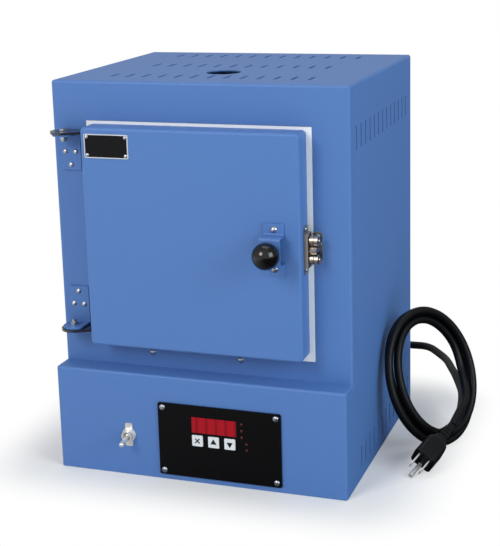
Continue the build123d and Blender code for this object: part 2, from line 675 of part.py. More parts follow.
# The fibre slab fills the pan and stands out of its back to seal against the chamber's frame.
fibre_inset = SHEET + FIBRE_SIDE_GAP
fibre_front = DOOR_FACE + SHEET + FIBRE_SIDE_GAP
fibre_back = MUFFLE_FRONT - SEAL_GAP
with BuildPart() as door_fibre:
    with BuildSketch(front_plane(fibre_back)):
        with Locations((0, DOOR_MID_Z)):
            RectangleRounded(DOOR_WIDTH - 2 * fibre_inset, DOOR_HEIGHT - 2 * fibre_inset, PAN_CORNER - SHEET)
    extrude(amount=fibre_back - fibre_front)
    fillet(door_fibre.faces().sort_by(Axis.Y)[0].edges(), BEND - SHEET)
    with BuildSketch(front_plane(fibre_front)):
        with Locations(*hat_screws):
            Circle(screw_hole)
        with Locations(*plate_rivets_at):
            Circle(SMALL_SHANK_RADIUS)
    extrude(amount=-SCREW_SHANK, mode=Mode.SUBTRACT)
    with BuildSketch(Plane.YZ.offset(DOOR_RIGHT)):
        with Locations(*catch_screws_at):
            Circle(small_hole)
    extrude(amount=-2 * SMALL_SHANK, mode=Mode.SUBTRACT)
finish(door_fibre, "door_fibre")


# ======== Hinges ========
# Each strap is a rounded plate on the hinge axis with a tab riveted to the door's left side; each
# bracket is an angle on the case front whose ear lies against the strap. The lower hinge mirrors
# the upper one.
def hinge_strap(side):
    """Strap of the upper (side 1) or lower (side -1) hinge."""
    middle = HINGE_MID_Z + side * STRAP_OFFSET
    arm_y = Y_FRONT - DOOR_GAP - STRAP_ARM / 2
    with BuildPart() as strap:
        with BuildSketch(Plane.XY.offset(middle - STRAP_THICK / 2)) as plan:
            with Locations((PIVOT_X, PIVOT_Y)):
                Circle(STRAP_RADIUS)
            with Locations(((PIVOT_X - DOOR_RIGHT) / 2, arm_y)):
                Rectangle(-DOOR_RIGHT - PIVOT_X, STRAP_ARM)
            lobe_front = (PIVOT_X + STRAP_RADIUS * 0.5, PIVOT_Y - STRAP_RADIUS * 0.866)
            arm_front = (-DOOR_RIGHT, arm_y - STRAP_ARM / 2)
            with BuildLine():
                Polyline((PIVOT_X, PIVOT_Y), lobe_front, arm_front, (-DOOR_RIGHT, arm_y), close=True)
            make_face()
            with Locations((PIVOT_X, PIVOT_Y)):
                Circle(BOLT_RADIUS + BOLT_PLAY, mode=Mode.SUBTRACT)
        extrude(amount=STRAP_THICK)
        tab_middle = middle + side * (STRAP_THICK - STRAP_TAB) / 2
        with BuildSketch(Plane.YZ.offset(-DOOR_RIGHT)):
            with Locations((arm_y, tab_middle)):
                Rectangle(STRAP_ARM, STRAP_TAB)
        extrude(amount=-STRAP_THICK)
    return strap


def hinge_bracket(side):
    """Angle bracket of the upper (side 1) or lower (side -1) hinge."""
    ear_face = HINGE_MID_Z + side * (STRAP_OFFSET - STRAP_THICK / 2 - HINGE_PLAY)
    ear_mid = ear_face - side * EAR_THICK / 2
    low = ear_face - side * BRACKET_DROP
    with BuildPart() as bracket:
        with BuildSketch(Plane.XY.offset(ear_mid - EAR_THICK / 2)):
            with Locations((PIVOT_X, PIVOT_Y)):
                Circle(EAR_RADIUS)
            with Locations((PIVOT_X, (PIVOT_Y + Y_FRONT) / 2)):
                Rectangle(2 * EAR_RADIUS, PIVOT_FORWARD)
            with Locations((PIVOT_X, PIVOT_Y)):
                Circle(BOLT_RADIUS + BOLT_PLAY, mode=Mode.SUBTRACT)
        extrude(amount=EAR_THICK)
        with BuildSketch(front_plane(Y_FRONT)):
            with Locations((PIVOT_X, (ear_face + low) / 2)):
                RectangleRounded(BRACKET_WIDTH, BRACKET_DROP, BRACKET_BEND)
            with Locations(*hinge_rivets_at):
                Circle(RIVET_SHANK + HOLE_GAP, mode=Mode.SUBTRACT)
        extrude(amount=EAR_THICK)
    return bracket


for side, level in ((1, "upper"), (-1, "lower")):
    finish(hinge_strap(side), f"door_strap_{level}")
    finish(hinge_bracket(side), f"hinge_bracket_{level}")

strap_outer = STRAP_OFFSET + STRAP_THICK / 2
ear_inner = STRAP_OFFSET - STRAP_THICK / 2 - HINGE_PLAY - EAR_THICK
bolt_end = ear_inner - NUT_HEIGHT - BOLT_TAIL
with BuildPart() as hinge_bolts:
    for side in (-1, 1):
        with BuildSketch(Plane.XY.offset(HINGE_MID_Z + side * (strap_outer + HINGE_PLAY))):
            with Locations((PIVOT_X, PIVOT_Y)):
                RegularPolygon(BOLT_HEAD_RADIUS, 6)
        extrude(amount=side * BOLT_HEAD)
        with BuildSketch(Plane.XY.offset(HINGE_MID_Z + side * bolt_end)):
            with Locations((PIVOT_X, PIVOT_Y)):
                Circle(BOLT_RADIUS)
        extrude(amount=side * (strap_outer + HINGE_PLAY - bolt_end))
finish(hinge_bolts, "hinge_bolts")

nut = hexagon(NUT_RADIUS, NUT_HEIGHT, BOLT_RADIUS + BOLT_PLAY)
with BuildPart() as hinge_nuts:
    with Locations(
        (PIVOT_X, PIVOT_Y, HINGE_MID_Z + ear_inner - NUT_HEIGHT),
        (PIVOT_X, PIVOT_Y, HINGE_MID_Z - ear_inner),
    ):
        add(nut)
finish(hinge_nuts, "hinge_nuts")

with BuildPart(front_plane(Y_FRONT - EAR_THICK)) as hinge_rivets:
    with Locations(*hinge_rivets_at):
        add(rivet)
finish(hinge_rivets, "hinge_rivets")


# ======== Knob, plate and catch on the door ========
# The knob's strap is a hat section: two flanges on the door, two legs and the web.
hat_middle = DOOR_FACE - HAT_SHEET / 2
web_middle = WEB_FACE + HAT_SHEET / 2
half_web = STRAP_WEB / 2 - HAT_SHEET / 2
with BuildPart() as knob_bracket:
    with BuildSketch(Plane.YZ.offset(KNOB_X - HAT_WIDTH / 2)):
        with BuildLine():
            FilletPolyline(
                (hat_middle, DOOR_MID_Z - half_web - HAT_FLANGE),
                (hat_middle, DOOR_MID_Z - half_web),
                (web_middle, DOOR_MID_Z - half_web),
                (web_middle, DOOR_MID_Z + half_web),
                (hat_middle, DOOR_MID_Z + half_web),
                (hat_middle, DOOR_MID_Z + half_web + HAT_FLANGE),
                radius=HAT_BEND,
            )
        trace(line_width=HAT_SHEET)
    extrude(amount=HAT_WIDTH)
    with BuildSketch(front_plane(DOOR_FACE)):
        with Locations(*hat_screws):
            Circle(screw_hole)
    extrude(amount=2 * HAT_SHEET, mode=Mode.SUBTRACT)
    with BuildSketch(front_plane(WEB_FACE)):
        with Locations((KNOB_X, DOOR_MID_Z)):
            Circle(KNOB_SCREW_RADIUS + HOLE_GAP)
    extrude(amount=-2 * HAT_SHEET, mode=Mode.SUBTRACT)
finish(knob_bracket, "knob_bracket")

ball_rise = (KNOB_RADIUS**2 - KNOB_FLAT**2) ** 0.5
with BuildPart(Plane(origin=(KNOB_X, WEB_FACE, DOOR_MID_Z), x_dir=(1, 0, 0), z_dir=(0, -1, 0))) as knob:
    with BuildSketch(Plane(origin=(KNOB_X, WEB_FACE, DOOR_MID_Z), x_dir=(1, 0, 0), z_dir=(0, 0, 1))):
        with BuildLine():
            rim = Line((KNOB_SCREW_RADIUS + HOLE_GAP, 0), (KNOB_FLAT, 0))
            ball = ThreePointArc(rim @ 1, (KNOB_RADIUS, -ball_rise), (0, -ball_rise - KNOB_RADIUS))
            Polyline(ball @ 1, (0, -KNOB_SCREW_REACH), (KNOB_SCREW_RADIUS + HOLE_GAP, -KNOB_SCREW_REACH), rim @ 0)
        make_face()
    revolve(axis=Axis((KNOB_X, WEB_FACE, DOOR_MID_Z), (0, 1, 0)))
finish(knob, "knob")

with BuildPart() as knob_screws:
    with Locations(front_plane(DOOR_FACE - HAT_SHEET)):
        with Locations(*hat_screws):
            add(screw)
    with BuildSketch(front_plane(WEB_FACE + HAT_SHEET)):
        with Locations((KNOB_X, DOOR_MID_Z)):
            Circle(KNOB_SCREW_RADIUS)
    extrude(amount=HAT_SHEET + KNOB_SCREW_REACH - HOLE_GAP)
    with BuildSketch(front_plane(WEB_FACE + HAT_SHEET)):
        with Locations((KNOB_X, DOOR_MID_Z)):
            Circle(1.8 * KNOB_SCREW_RADIUS)
    extrude(amount=-KNOB_SCREW_RADIUS)
finish(knob_screws, "knob_screws")

with BuildPart() as door_plate:
    with BuildSketch(front_plane(DOOR_FACE)):
        with Locations(plate_mid):
            RectangleRounded(PLATE_WIDTH, PLATE_HEIGHT, PLATE_CORNER)
        with Locations(*plate_rivets_at):
            Circle(SMALL_SHANK_RADIUS, mode=Mode.SUBTRACT)
    extrude(amount=PLATE_THICK)
finish(door_plate, "door_plate")

plate_rivet = dome_head(PLATE_RIVET_RADIUS + SMALL_SHANK_RADIUS / 2, 0.8, SMALL_SHANK_RADIUS - HOLE_GAP, SMALL_SHANK)
with BuildPart(front_plane(DOOR_FACE - PLATE_THICK)) as plate_rivets:
    with Locations(*plate_rivets_at):
        add(plate_rivet)
finish(plate_rivets, "plate_rivets")

# Catch: a plate with a channel in which two sprung sliders carry the rollers.
slider_breadth = CATCH_BREADTH - 2 * (CHANNEL_WALL + SLIDER_GAP)
with BuildPart() as catch_housing:
    with BuildSketch(Plane.YZ.offset(DOOR_RIGHT)):
        with Locations((ROLLER_Y, CATCH_Z)):
            RectangleRounded(CATCH_BREADTH, CATCH_PLATE, 2)
        with Locations(*catch_screws_at):
            Circle(small_hole, mode=Mode.SUBTRACT)
    extrude(amount=CATCH_PLATE_THICK)
    with BuildSketch(Plane.YZ.offset(DOOR_RIGHT + CATCH_PLATE_THICK)):
        with Locations((ROLLER_Y, CATCH_Z)):
            Rectangle(CATCH_BREADTH, CHANNEL_LENGTH)
            Rectangle(CATCH_BREADTH - 2 * CHANNEL_WALL, CHANNEL_LENGTH - 2 * CHANNEL_WALL, mode=Mode.SUBTRACT)
    extrude(amount=CHANNEL_DEPTH)
finish(catch_housing, "catch_housing")

with BuildPart(Plane.YZ.offset(DOOR_RIGHT + CATCH_PLATE_THICK)) as catch_screws:
    with Locations(*catch_screws_at):
        add(small_screw)
finish(catch_screws, "catch_screws")

slider_x = DOOR_RIGHT + CATCH_PLATE_THICK + SLIDER_GAP
slider_height = CHANNEL_DEPTH - 2 * SLIDER_GAP
spring_room = CHANNEL_LENGTH / 2 - CHANNEL_WALL - ROLLER_SPACING / 2 - SLIDER_LENGTH / 2
spring_length = spring_room - 2 * (SPRING_WIRE + SPRING_GAP)
for side, level in ((1, "upper"), (-1, "lower")):
    roller_z = CATCH_Z + side * ROLLER_SPACING / 2
    with BuildPart() as slider:
        with BuildSketch(Plane.YZ.offset(slider_x)):
            with Locations((ROLLER_Y, roller_z)):
                Rectangle(slider_breadth, SLIDER_LENGTH)
        extrude(amount=slider_height)
        with BuildSketch(Plane.YZ.offset(slider_x)):
            with Locations((ROLLER_Y, roller_z)):
                Circle(PIN_RADIUS)
        extrude(amount=ROLLER_INNER_X + ROLLER_LENGTH + ROLLER_END_GAP - slider_x)
        with BuildSketch(Plane.YZ.offset(ROLLER_INNER_X + ROLLER_LENGTH + ROLLER_END_GAP)):
            with Locations((ROLLER_Y, roller_z)):
                Circle(2 * PIN_RADIUS)
        extrude(amount=CHANNEL_WALL)
    finish(slider, f"catch_slider_{level}")
    with BuildPart() as roller:
        with BuildSketch(Plane.XY.offset(roller_z)):
            with BuildLine():
                Polyline(
                    (ROLLER_INNER_X, ROLLER_Y - PIN_RADIUS - PIN_PLAY),
                    (ROLLER_INNER_X, ROLLER_Y - ROLLER_RADIUS + ROLLER_GROOVE),
                    (ROLLER_INNER_X + ROLLER_GROOVE, ROLLER_Y - ROLLER_RADIUS),
                    (ROLLER_X - ROLLER_GROOVE, ROLLER_Y - ROLLER_RADIUS),
                    (ROLLER_X, ROLLER_Y - ROLLER_RADIUS + ROLLER_GROOVE),
                    (ROLLER_X + ROLLER_GROOVE, ROLLER_Y - ROLLER_RADIUS),
                    (ROLLER_INNER_X + ROLLER_LENGTH - ROLLER_GROOVE, ROLLER_Y - ROLLER_RADIUS),
                    (ROLLER_INNER_X + ROLLER_LENGTH, ROLLER_Y - ROLLER_RADIUS + ROLLER_GROOVE),
                    (ROLLER_INNER_X + ROLLER_LENGTH, ROLLER_Y - PIN_RADIUS - PIN_PLAY),
                    close=True,
                )
            make_face()
        revolve(axis=Axis((ROLLER_X, ROLLER_Y, roller_z), (1, 0, 0)))
    finish(roller, f"catch_roller_{level}")
    spring_start = roller_z + side * (SLIDER_LENGTH / 2 + SPRING_WIRE + SPRING_GAP)
    with BuildPart() as spring:
        with BuildLine() as spring_line:
            Helix(
                pitch=spring_length / SPRING_TURNS,
                height=spring_length,
                radius=SPRING_RADIUS - SPRING_WIRE,
                center=(slider_x + slider_height / 2, ROLLER_Y, spring_start),
                direction=(0, 0, side),
            )
        with BuildSketch(spring_line.line ^ 0):
            Circle(SPRING_WIRE)
        sweep(is_frenet=True)
    finish(spring, f"catch_spring_{level}")

# Strike on the case: a plate with the spear that the rollers close on.
spear_half = ROLLER_SPACING / 2 - ROLLER_RADIUS - SPEAR_GAP
plate_face = Y_FRONT - STRIKE_THICK
spear_tip = Y_FRONT - SPEAR_REACH
with BuildPart() as catch_strike:
    with BuildSketch(front_plane(Y_FRONT)):
        with Locations((ROLLER_X, CATCH_Z)):
            RectangleRounded(STRIKE_WIDTH, STRIKE_LENGTH, 2)
        with Locations(*strike_screws_at):
            Circle(small_hole, mode=Mode.SUBTRACT)
    extrude(amount=STRIKE_THICK)
    with BuildSketch(Plane.YZ.offset(ROLLER_X - SPEAR_WIDTH / 2)):
        with BuildLine():
            Polyline(
                (plate_face, CATCH_Z - SPEAR_NECK / 2),
                (ROLLER_Y - 1.0, CATCH_Z - SPEAR_NECK / 2),
                (ROLLER_Y - 3.6, CATCH_Z - spear_half),
                (spear_tip + 1.5, CATCH_Z - SPEAR_NECK / 3),
                (spear_tip, CATCH_Z),
                (spear_tip + 1.5, CATCH_Z + SPEAR_NECK / 3),
                (ROLLER_Y - 3.6, CATCH_Z + spear_half),
                (ROLLER_Y - 1.0, CATCH_Z + SPEAR_NECK / 2),
                (plate_face, CATCH_Z + SPEAR_NECK / 2),
                close=True,
            )
        make_face()
    extrude(amount=SPEAR_WIDTH)
finish(catch_strike, "catch_strike")

with BuildPart(front_plane(plate_face)) as strike_screws:
    with Locations(*strike_screws_at):
        add(small_screw)
finish(strike_screws, "strike_screws")


# ======== Controller ========
keys = [(KEY_FIRST_X + i * KEY_PITCH, name) for i, name in enumerate(("enter", "up", "down"))]
with BuildPart() as control_faceplate:
    with BuildSketch(front_plane(Y_BASE)):
        with Locations((FACE_X, FACE_Z)):
            RectangleRounded(FACE_WIDTH, FACE_HEIGHT, FACE_CORNER)
        with Locations(*face_screws):
            Circle(small_hole, mode=Mode.SUBTRACT)
        with Locations(*[(x, KEY_Z) for x, _ in keys]):
            RectangleRounded(KEY_SIZE + 2 * KEY_GAP, KEY_SIZE + 2 * KEY_GAP, KEY_CORNER, mode=Mode.SUBTRACT)
        with Locations((DISPLAY_X, DISPLAY_Z)):
            Rectangle(DISPLAY_WIDTH - 2, DISPLAY_HEIGHT - 2, mode=Mode.SUBTRACT)
        with Locations(*LAMPS):
            Circle(LAMP_RADIUS + HOLE_GAP, mode=Mode.SUBTRACT)
    extrude(amount=FACE_THICK)
    with BuildSketch(front_plane(FACE_FRONT)):
        with Locations((DISPLAY_X, DISPLAY_Z)):
            Rectangle(DISPLAY_WIDTH + FIT, DISPLAY_HEIGHT + FIT)
    extrude(amount=-DISPLAY_THICK, mode=Mode.SUBTRACT)
finish(control_faceplate, "control_faceplate")

with BuildPart() as display_window:
    with BuildSketch(front_plane(FACE_FRONT + DISPLAY_THICK)):
        with Locations((DISPLAY_X, DISPLAY_Z)):
            Rectangle(DISPLAY_WIDTH, DISPLAY_HEIGHT)
    extrude(amount=DISPLAY_THICK)
finish(display_window, "display_window")

with BuildPart(front_plane(FACE_FRONT)) as faceplate_screws:
    with Locations(*face_screws):
        add(small_screw)
finish(faceplate_screws, "faceplate_screws")

# Each key is a cap with a stem that presses its switch on the board.
switch_face = BOARD_FRONT - KEY_STEM
for key_x, name in keys:
    with BuildPart() as key:
        with BuildSketch(front_plane(Y_BASE)):
            with Locations((key_x, KEY_Z)):
                RectangleRounded(KEY_SIZE, KEY_SIZE, KEY_CORNER)
        extrude(amount=FACE_THICK + KEY_PROUD)
        fillet(key.faces().sort_by(Axis.Y)[0].edges(), KEY_PROUD / 2)
        with BuildSketch(front_plane(Y_BASE)):
            with Locations((key_x, KEY_Z)):
                Circle(KEY_STEM)
        extrude(amount=-(switch_face - KEY_TRAVEL - HOLE_GAP - Y_BASE))
    finish(key, f"key_{name}")

with BuildPart() as indicator_lights:
    with BuildSketch(front_plane(BOARD_FRONT)):
        with Locations(*LAMPS):
            Circle(LAMP_RADIUS)
    extrude(amount=BOARD_FRONT - FACE_FRONT + LAMP_PROUD)
    fillet(indicator_lights.edges().group_by(Axis.Y)[0], LAMP_PROUD)
finish(indicator_lights, "indicator_lights")

with BuildPart() as controller_board:
    with BuildSketch(front_plane(BOARD_FRONT)):
        with Locations((FACE_X, FACE_Z)):
            Rectangle(*BOARD_SIZE)
    extrude(amount=-BOARD_THICK)
    with BuildSketch(front_plane(BOARD_FRONT)):
        with Locations((FACE_X, FACE_Z)):
            with GridLocations(2 * (FACE_SCREW_X - STANDOFF_INSET) - 8, 2 * (FACE_SCREW_Z - STANDOFF_INSET), 2, 2):
                Circle(STANDOFF_RADIUS, mode=Mode.ADD)
        with Locations(*[(x, KEY_Z) for x, _ in keys]):
            Rectangle(2 * KEY_STEM, 2 * KEY_STEM)
    extrude(amount=KEY_STEM)
    with BuildSketch(front_plane(BOARD_FRONT)):
        with Locations((DISPLAY_X, DISPLAY_Z)):
            Rectangle(DISPLAY_WIDTH - 4, DISPLAY_HEIGHT - 4)
    extrude(amount=BOARD_FRONT - FACE_FRONT - DISPLAY_THICK - FIT)
finish(controller_board, "controller_board")


# ======== Power switch ========
with BuildPart() as toggle_body:
    with BuildSketch(front_plane(Y_BASE + SHEET)):
        with Locations((SWITCH_X, SWITCH_Z)):
            Rectangle(SWITCH_BODY[0], SWITCH_BODY[2])
    extrude(amount=-SWITCH_BODY[1])
    with BuildSketch(front_plane(Y_BASE + SHEET)):
        with Locations((SWITCH_X, SWITCH_Z)):
            Circle(BUSH_RADIUS)
    extrude(amount=SHEET + BUSH_PROUD)
    with BuildSketch(Plane.YZ.offset(SWITCH_X)) as mouth:
        with BuildLine():
            Polyline(
                (BUSH_MOUTH - 1, SWITCH_Z),
                (BUSH_MOUTH - 1, SWITCH_Z + BUSH_RADIUS - 0.6),
                (BUSH_MOUTH, SWITCH_Z + BUSH_RADIUS - 1.2),
                (LEVER_PIVOT_Y, SWITCH_Z + LEVER_BALL + SOCKET_GAP),
                (LEVER_PIVOT_Y + LEVER_BALL + SOCKET_GAP, SWITCH_Z + LEVER_BALL + SOCKET_GAP),
                (LEVER_PIVOT_Y + LEVER_BALL + SOCKET_GAP, SWITCH_Z),
                close=True,
            )
        make_face()
    revolve(axis=Axis((SWITCH_X, BUSH_MOUTH, SWITCH_Z), (0, 1, 0)), mode=Mode.SUBTRACT)
finish(toggle_body, "toggle_body")

with BuildPart() as toggle_plate:
    with BuildSketch(front_plane(Y_BASE)):
        with Locations((SWITCH_X, SWITCH_Z)):
            Circle(SWITCH_PLATE_RADIUS)
            RectangleRounded(SWITCH_TAB_WIDTH, 2 * SWITCH_TAB_REACH, 1.5)
            Circle(BUSH_RADIUS + HOLE_GAP, mode=Mode.SUBTRACT)
    extrude(amount=SWITCH_PLATE_THICK)
finish(toggle_plate, "toggle_plate")

with BuildPart(front_plane(Y_BASE - SWITCH_PLATE_THICK)) as toggle_nut:
    with Locations((SWITCH_X, SWITCH_Z)):
        add(hexagon(SWITCH_NUT_RADIUS, SWITCH_NUT, BUSH_RADIUS + HOLE_GAP / 2))
finish(toggle_nut, "toggle_nut")

lever_tilt = radians(LEVER_TILT)
lever_plane = Plane(
    origin=(SWITCH_X, LEVER_PIVOT_Y, SWITCH_Z),
    x_dir=(1, 0, 0),
    z_dir=(0, -cos(lever_tilt), -sin(lever_tilt)),
)
with BuildPart(lever_plane) as toggle_lever:
    Sphere(LEVER_BALL)
    with BuildSketch(lever_plane):
        Circle(LEVER_ROOT_RADIUS)
    with BuildSketch(lever_plane.offset(LEVER_LENGTH - LEVER_TIP_RADIUS)):
        Circle(LEVER_TIP_RADIUS)
    loft()
    with Locations((0, 0, LEVER_LENGTH - LEVER_TIP_RADIUS)):
        Sphere(LEVER_TIP_RADIUS)
finish(toggle_lever, "toggle_lever")


# ======== Electrics on the floor of the base ========
with BuildPart() as relay:
    with Locations((*RELAY_PLACE, SHEET)):
        Box(*RELAY_SIZE, align=(Align.CENTER, Align.CENTER, Align.MIN))
    fillet(relay.edges().filter_by(Axis.Z), 3)
    with BuildSketch(Plane.XY.offset(SHEET + RELAY_SIZE[2])):
        with Locations(RELAY_PLACE):
            with GridLocations(0, RELAY_SIZE[1] - 12, 1, 2):
                Rectangle(RELAY_SIZE[0] + 1, 10)
    extrude(amount=-RELAY_SIZE[2] / 3, mode=Mode.SUBTRACT)
finish(relay, "relay")

with BuildPart() as transformer:
    with Locations((*TRANSFORMER_PLACE, SHEET)):
        Box(*TRANSFORMER_FOOT, align=(Align.CENTER, Align.CENTER, Align.MIN))
        Box(*TRANSFORMER_CORE, align=(Align.CENTER, Align.CENTER, Align.MIN))
    core_middle = SHEET + TRANSFORMER_CORE[2] / 2
    with Locations((*TRANSFORMER_PLACE, core_middle)):
        Box(*TRANSFORMER_COIL)
    fillet(transformer.edges().filter_by(Axis.Z).group_by(Axis.Y)[-1], 4)
    fillet(transformer.edges().filter_by(Axis.Z).group_by(Axis.Y)[0], 4)
finish(transformer, "transformer")

with BuildPart() as terminal_strip:
    with Locations((*STRIP_PLACE, SHEET)):
        Box(*STRIP_SIZE, align=(Align.CENTER, Align.CENTER, Align.MIN))
    with BuildSketch(Plane.XY.offset(SHEET + STRIP_SIZE[2])):
        with Locations(STRIP_PLACE):
            with GridLocations(STRIP_SIZE[0] / STRIP_POLES, 0, STRIP_POLES, 1):
                Rectangle(STRIP_SIZE[0] / STRIP_POLES - 2, STRIP_SIZE[1] - 8)
    extrude(amount=-STRIP_SIZE[2] / 2, mode=Mode.SUBTRACT)
finish(terminal_strip, "terminal_strip")


# ======== Mains lead ========
with BuildPart() as strain_relief:
    relief_axis = Axis((RELIEF_X, Y_BACK, RELIEF_Z), (0, 1, 0))
    with BuildSketch(Plane(origin=(RELIEF_X, Y_BACK, RELIEF_Z), x_dir=(1, 0, 0), z_dir=(0, 0, 1))):
        with BuildLine():
            Polyline(
                (0, -SHEET - RELIEF_FLANGE),
                (RELIEF_ROOT_RADIUS + 1, -SHEET - RELIEF_FLANGE),
                (RELIEF_ROOT_RADIUS + 1, -SHEET - RELIEF_GAP),
                (RELIEF_ROOT_RADIUS - RELIEF_GAP, -SHEET - RELIEF_GAP),
                (RELIEF_ROOT_RADIUS - RELIEF_GAP, 0),
                (RELIEF_FLANGE_RADIUS, 0),
                (RELIEF_FLANGE_RADIUS, RELIEF_FLANGE),
                (RELIEF_ROOT_RADIUS, RELIEF_FLANGE),
                (CORD_RADIUS + 1, CORD_ROUTE[0][1] - Y_BACK),
                (0, CORD_ROUTE[0][1] - Y_BACK),
                close=True,
            )
        make_face()
    revolve(axis=relief_axis)
finish(strain_relief, "strain_relief")


def bend_radii(points):
    """Radius of the arc at each inner point: 0.45 of its shorter run over tan of half the turn."""
    radii = []
    for before, here, after in zip(points, points[1:], points[2:]):
        arriving = Vector(*here) - Vector(*before)
        leaving = Vector(*after) - Vector(*here)
        half_turn = radians(arriving.get_angle(leaving)) / 2
        radii.append(0.45 * min(arriving.length, leaving.length) / tan(half_turn))
    return radii


def lead(route):
    """A stretch of the mains lead: straight runs joined by tangent arcs."""
    radii = bend_radii(route)
    with BuildPart() as stretch:
        with BuildLine() as line:
            FilletPolyline(*route, radius=radii)
        with BuildSketch(line.line ^ 0):
            Circle(CORD_RADIUS)
        sweep()
    length = line.wire().length
    ratio = stretch.part.volume / (length * pi * CORD_RADIUS**2)
    print("bend radii:", [round(radius, 1) for radius in radii], f"length {length:.1f}, volume ratio {ratio:.4f}")
    return stretch


finish(lead(CORD_ROUTE), "power_cord")
finish(lead(PLUG_ROUTE), "plug_lead")

# The coil stands on its edge and leans on the case. Its ring is an oval of four tangent arcs.
yaw = radians(COIL_YAW)
lean = radians(COIL_LEAN)
coil_level = (cos(yaw), sin(yaw), 0)
coil_normal = (sin(yaw) * cos(lean), -cos(yaw) * cos(lean), sin(lean))
coil_plane = Plane(origin=COIL_CENTRE, x_dir=coil_level, z_dir=coil_normal)
end_centre = COIL_HALF_HEIGHT - COIL_END_RADIUS
side_radius = (end_centre**2 + COIL_HALF_WIDTH**2 - COIL_END_RADIUS**2) / (2 * (COIL_HALF_WIDTH - COIL_END_RADIUS))
side_centre = side_radius - COIL_HALF_WIDTH
join = COIL_END_RADIUS / hypot(side_centre, end_centre)
join_point = (side_centre * join, end_centre + end_centre * join)
with BuildPart() as cord_coil:
    with BuildLine(coil_plane) as ring:
        ThreePointArc((-join_point[0], join_point[1]), (0, COIL_HALF_HEIGHT), join_point)
        ThreePointArc(join_point, (COIL_HALF_WIDTH, 0), (join_point[0], -join_point[1]))
        ThreePointArc((join_point[0], -join_point[1]), (0, -COIL_HALF_HEIGHT), (-join_point[0], -join_point[1]))
        ThreePointArc((-join_point[0], -join_point[1]), (-COIL_HALF_WIDTH, 0), (-join_point[0], join_point[1]))
    with BuildSketch(ring.line ^ 0):
        Circle(COIL_BUNDLE)
    sweep()
finish(cord_coil, "cord_coil")

# Plug: a moulded body that narrows to the lead, with two flat blades and a round earth pin. Its
# blades lie side by side along the plane's first axis.
heading, dip, roll = radians(PLUG_HEADING), radians(PLUG_DIP), radians(PLUG_ROLL)
plug_aim = Vector(cos(heading) * cos(dip), sin(heading) * cos(dip), -sin(dip))
plug_level = Vector(-sin(heading), cos(heading), 0)
plug_across = plug_level * cos(roll) + plug_aim.cross(plug_level) * sin(roll)
plug_plane = Plane(origin=PLUG_PLACE, x_dir=plug_across, z_dir=plug_aim)
with BuildPart() as plug_body:
    for back, breadth, height in (
        (0, PLUG_WIDTH - 2 * PLUG_EDGE, PLUG_HEIGHT - 2 * PLUG_EDGE),
        (PLUG_EDGE, PLUG_WIDTH, PLUG_HEIGHT),
        (PLUG_LENGTH * 0.6, PLUG_WIDTH, PLUG_HEIGHT),
        (PLUG_LENGTH, PLUG_WAIST, PLUG_WAIST),
        (PLUG_LENGTH + PLUG_NECK, 2 * CORD_RADIUS + 1, 2 * CORD_RADIUS + 1),
    ):
        with BuildSketch(plug_plane.offset(-back)):
            RectangleRounded(breadth, height, min(PLUG_CORNER, height / 2 - 0.1))
    loft(ruled=True)
finish(plug_body, "plug_body")

with BuildPart() as plug_blades:
    with BuildSketch(plug_plane):
        with Locations((0, EARTH_DROP / 3)):
            with GridLocations(BLADE_SPREAD, 0, 2, 1):
                Rectangle(BLADE_THICK, BLADE_WIDTH)
    extrude(amount=BLADE_LENGTH)
    with BuildSketch(plug_plane):
        with Locations((0, EARTH_DROP / 3 - EARTH_DROP)):
            Circle(EARTH_RADIUS)
    extrude(amount=EARTH_LENGTH)
finish(plug_blades, "plug_blades")
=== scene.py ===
"""Looks of the jewellery kiln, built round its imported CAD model.

The kiln is a blue powder-coated case on a wider control base. A side-hung door closes a ceramic
fibre chamber, with a ball knob and a roller catch. The base has a keypad controller and a toggle
switch, and the mains lead lies beside it in a loose upright coil. All sizes are in metres, in the
row's frame: +Z up, the front towards -Y, and the origin under the middle of the footprint.
"""

from __future__ import annotations

import json
import logging
import math
from dataclasses import dataclass
from enum import Enum
from typing import Callable, Iterable

import bmesh
import bpy
from mathutils import Matrix, Vector


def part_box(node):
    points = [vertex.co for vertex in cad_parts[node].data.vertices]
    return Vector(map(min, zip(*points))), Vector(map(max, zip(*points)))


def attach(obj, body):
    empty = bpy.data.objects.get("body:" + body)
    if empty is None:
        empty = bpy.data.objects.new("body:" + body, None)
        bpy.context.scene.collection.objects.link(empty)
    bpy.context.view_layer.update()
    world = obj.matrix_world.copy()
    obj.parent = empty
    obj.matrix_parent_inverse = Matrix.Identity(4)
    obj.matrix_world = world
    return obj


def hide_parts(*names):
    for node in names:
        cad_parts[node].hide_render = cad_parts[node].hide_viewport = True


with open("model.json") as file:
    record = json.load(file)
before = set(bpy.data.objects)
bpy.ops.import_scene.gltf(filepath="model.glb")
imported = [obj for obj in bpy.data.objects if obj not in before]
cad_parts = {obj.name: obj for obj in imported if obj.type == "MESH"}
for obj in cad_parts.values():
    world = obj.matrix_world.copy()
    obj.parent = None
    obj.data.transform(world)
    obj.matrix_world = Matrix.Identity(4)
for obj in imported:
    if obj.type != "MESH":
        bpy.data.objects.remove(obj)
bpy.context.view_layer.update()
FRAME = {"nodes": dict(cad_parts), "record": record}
MM = 0.001
PATCH_SCALE = 12.0  # soft patches about 80 mm across
logging.basicConfig(level=logging.INFO, format="%(levelname)s %(message)s")
LOG = logging.getLogger("kiln")

Point = tuple[float, float, float]


class Side(Enum):
    """Which side wall of the chamber."""

    LEFT = -1
    RIGHT = 1


class Mark(Enum):
    """The mark printed on a key."""

    CROSS = "cross"
    UP = "up"
    DOWN = "down"


# ---------------------------------------------------------------------------
# Colour and node helpers
# ---------------------------------------------------------------------------


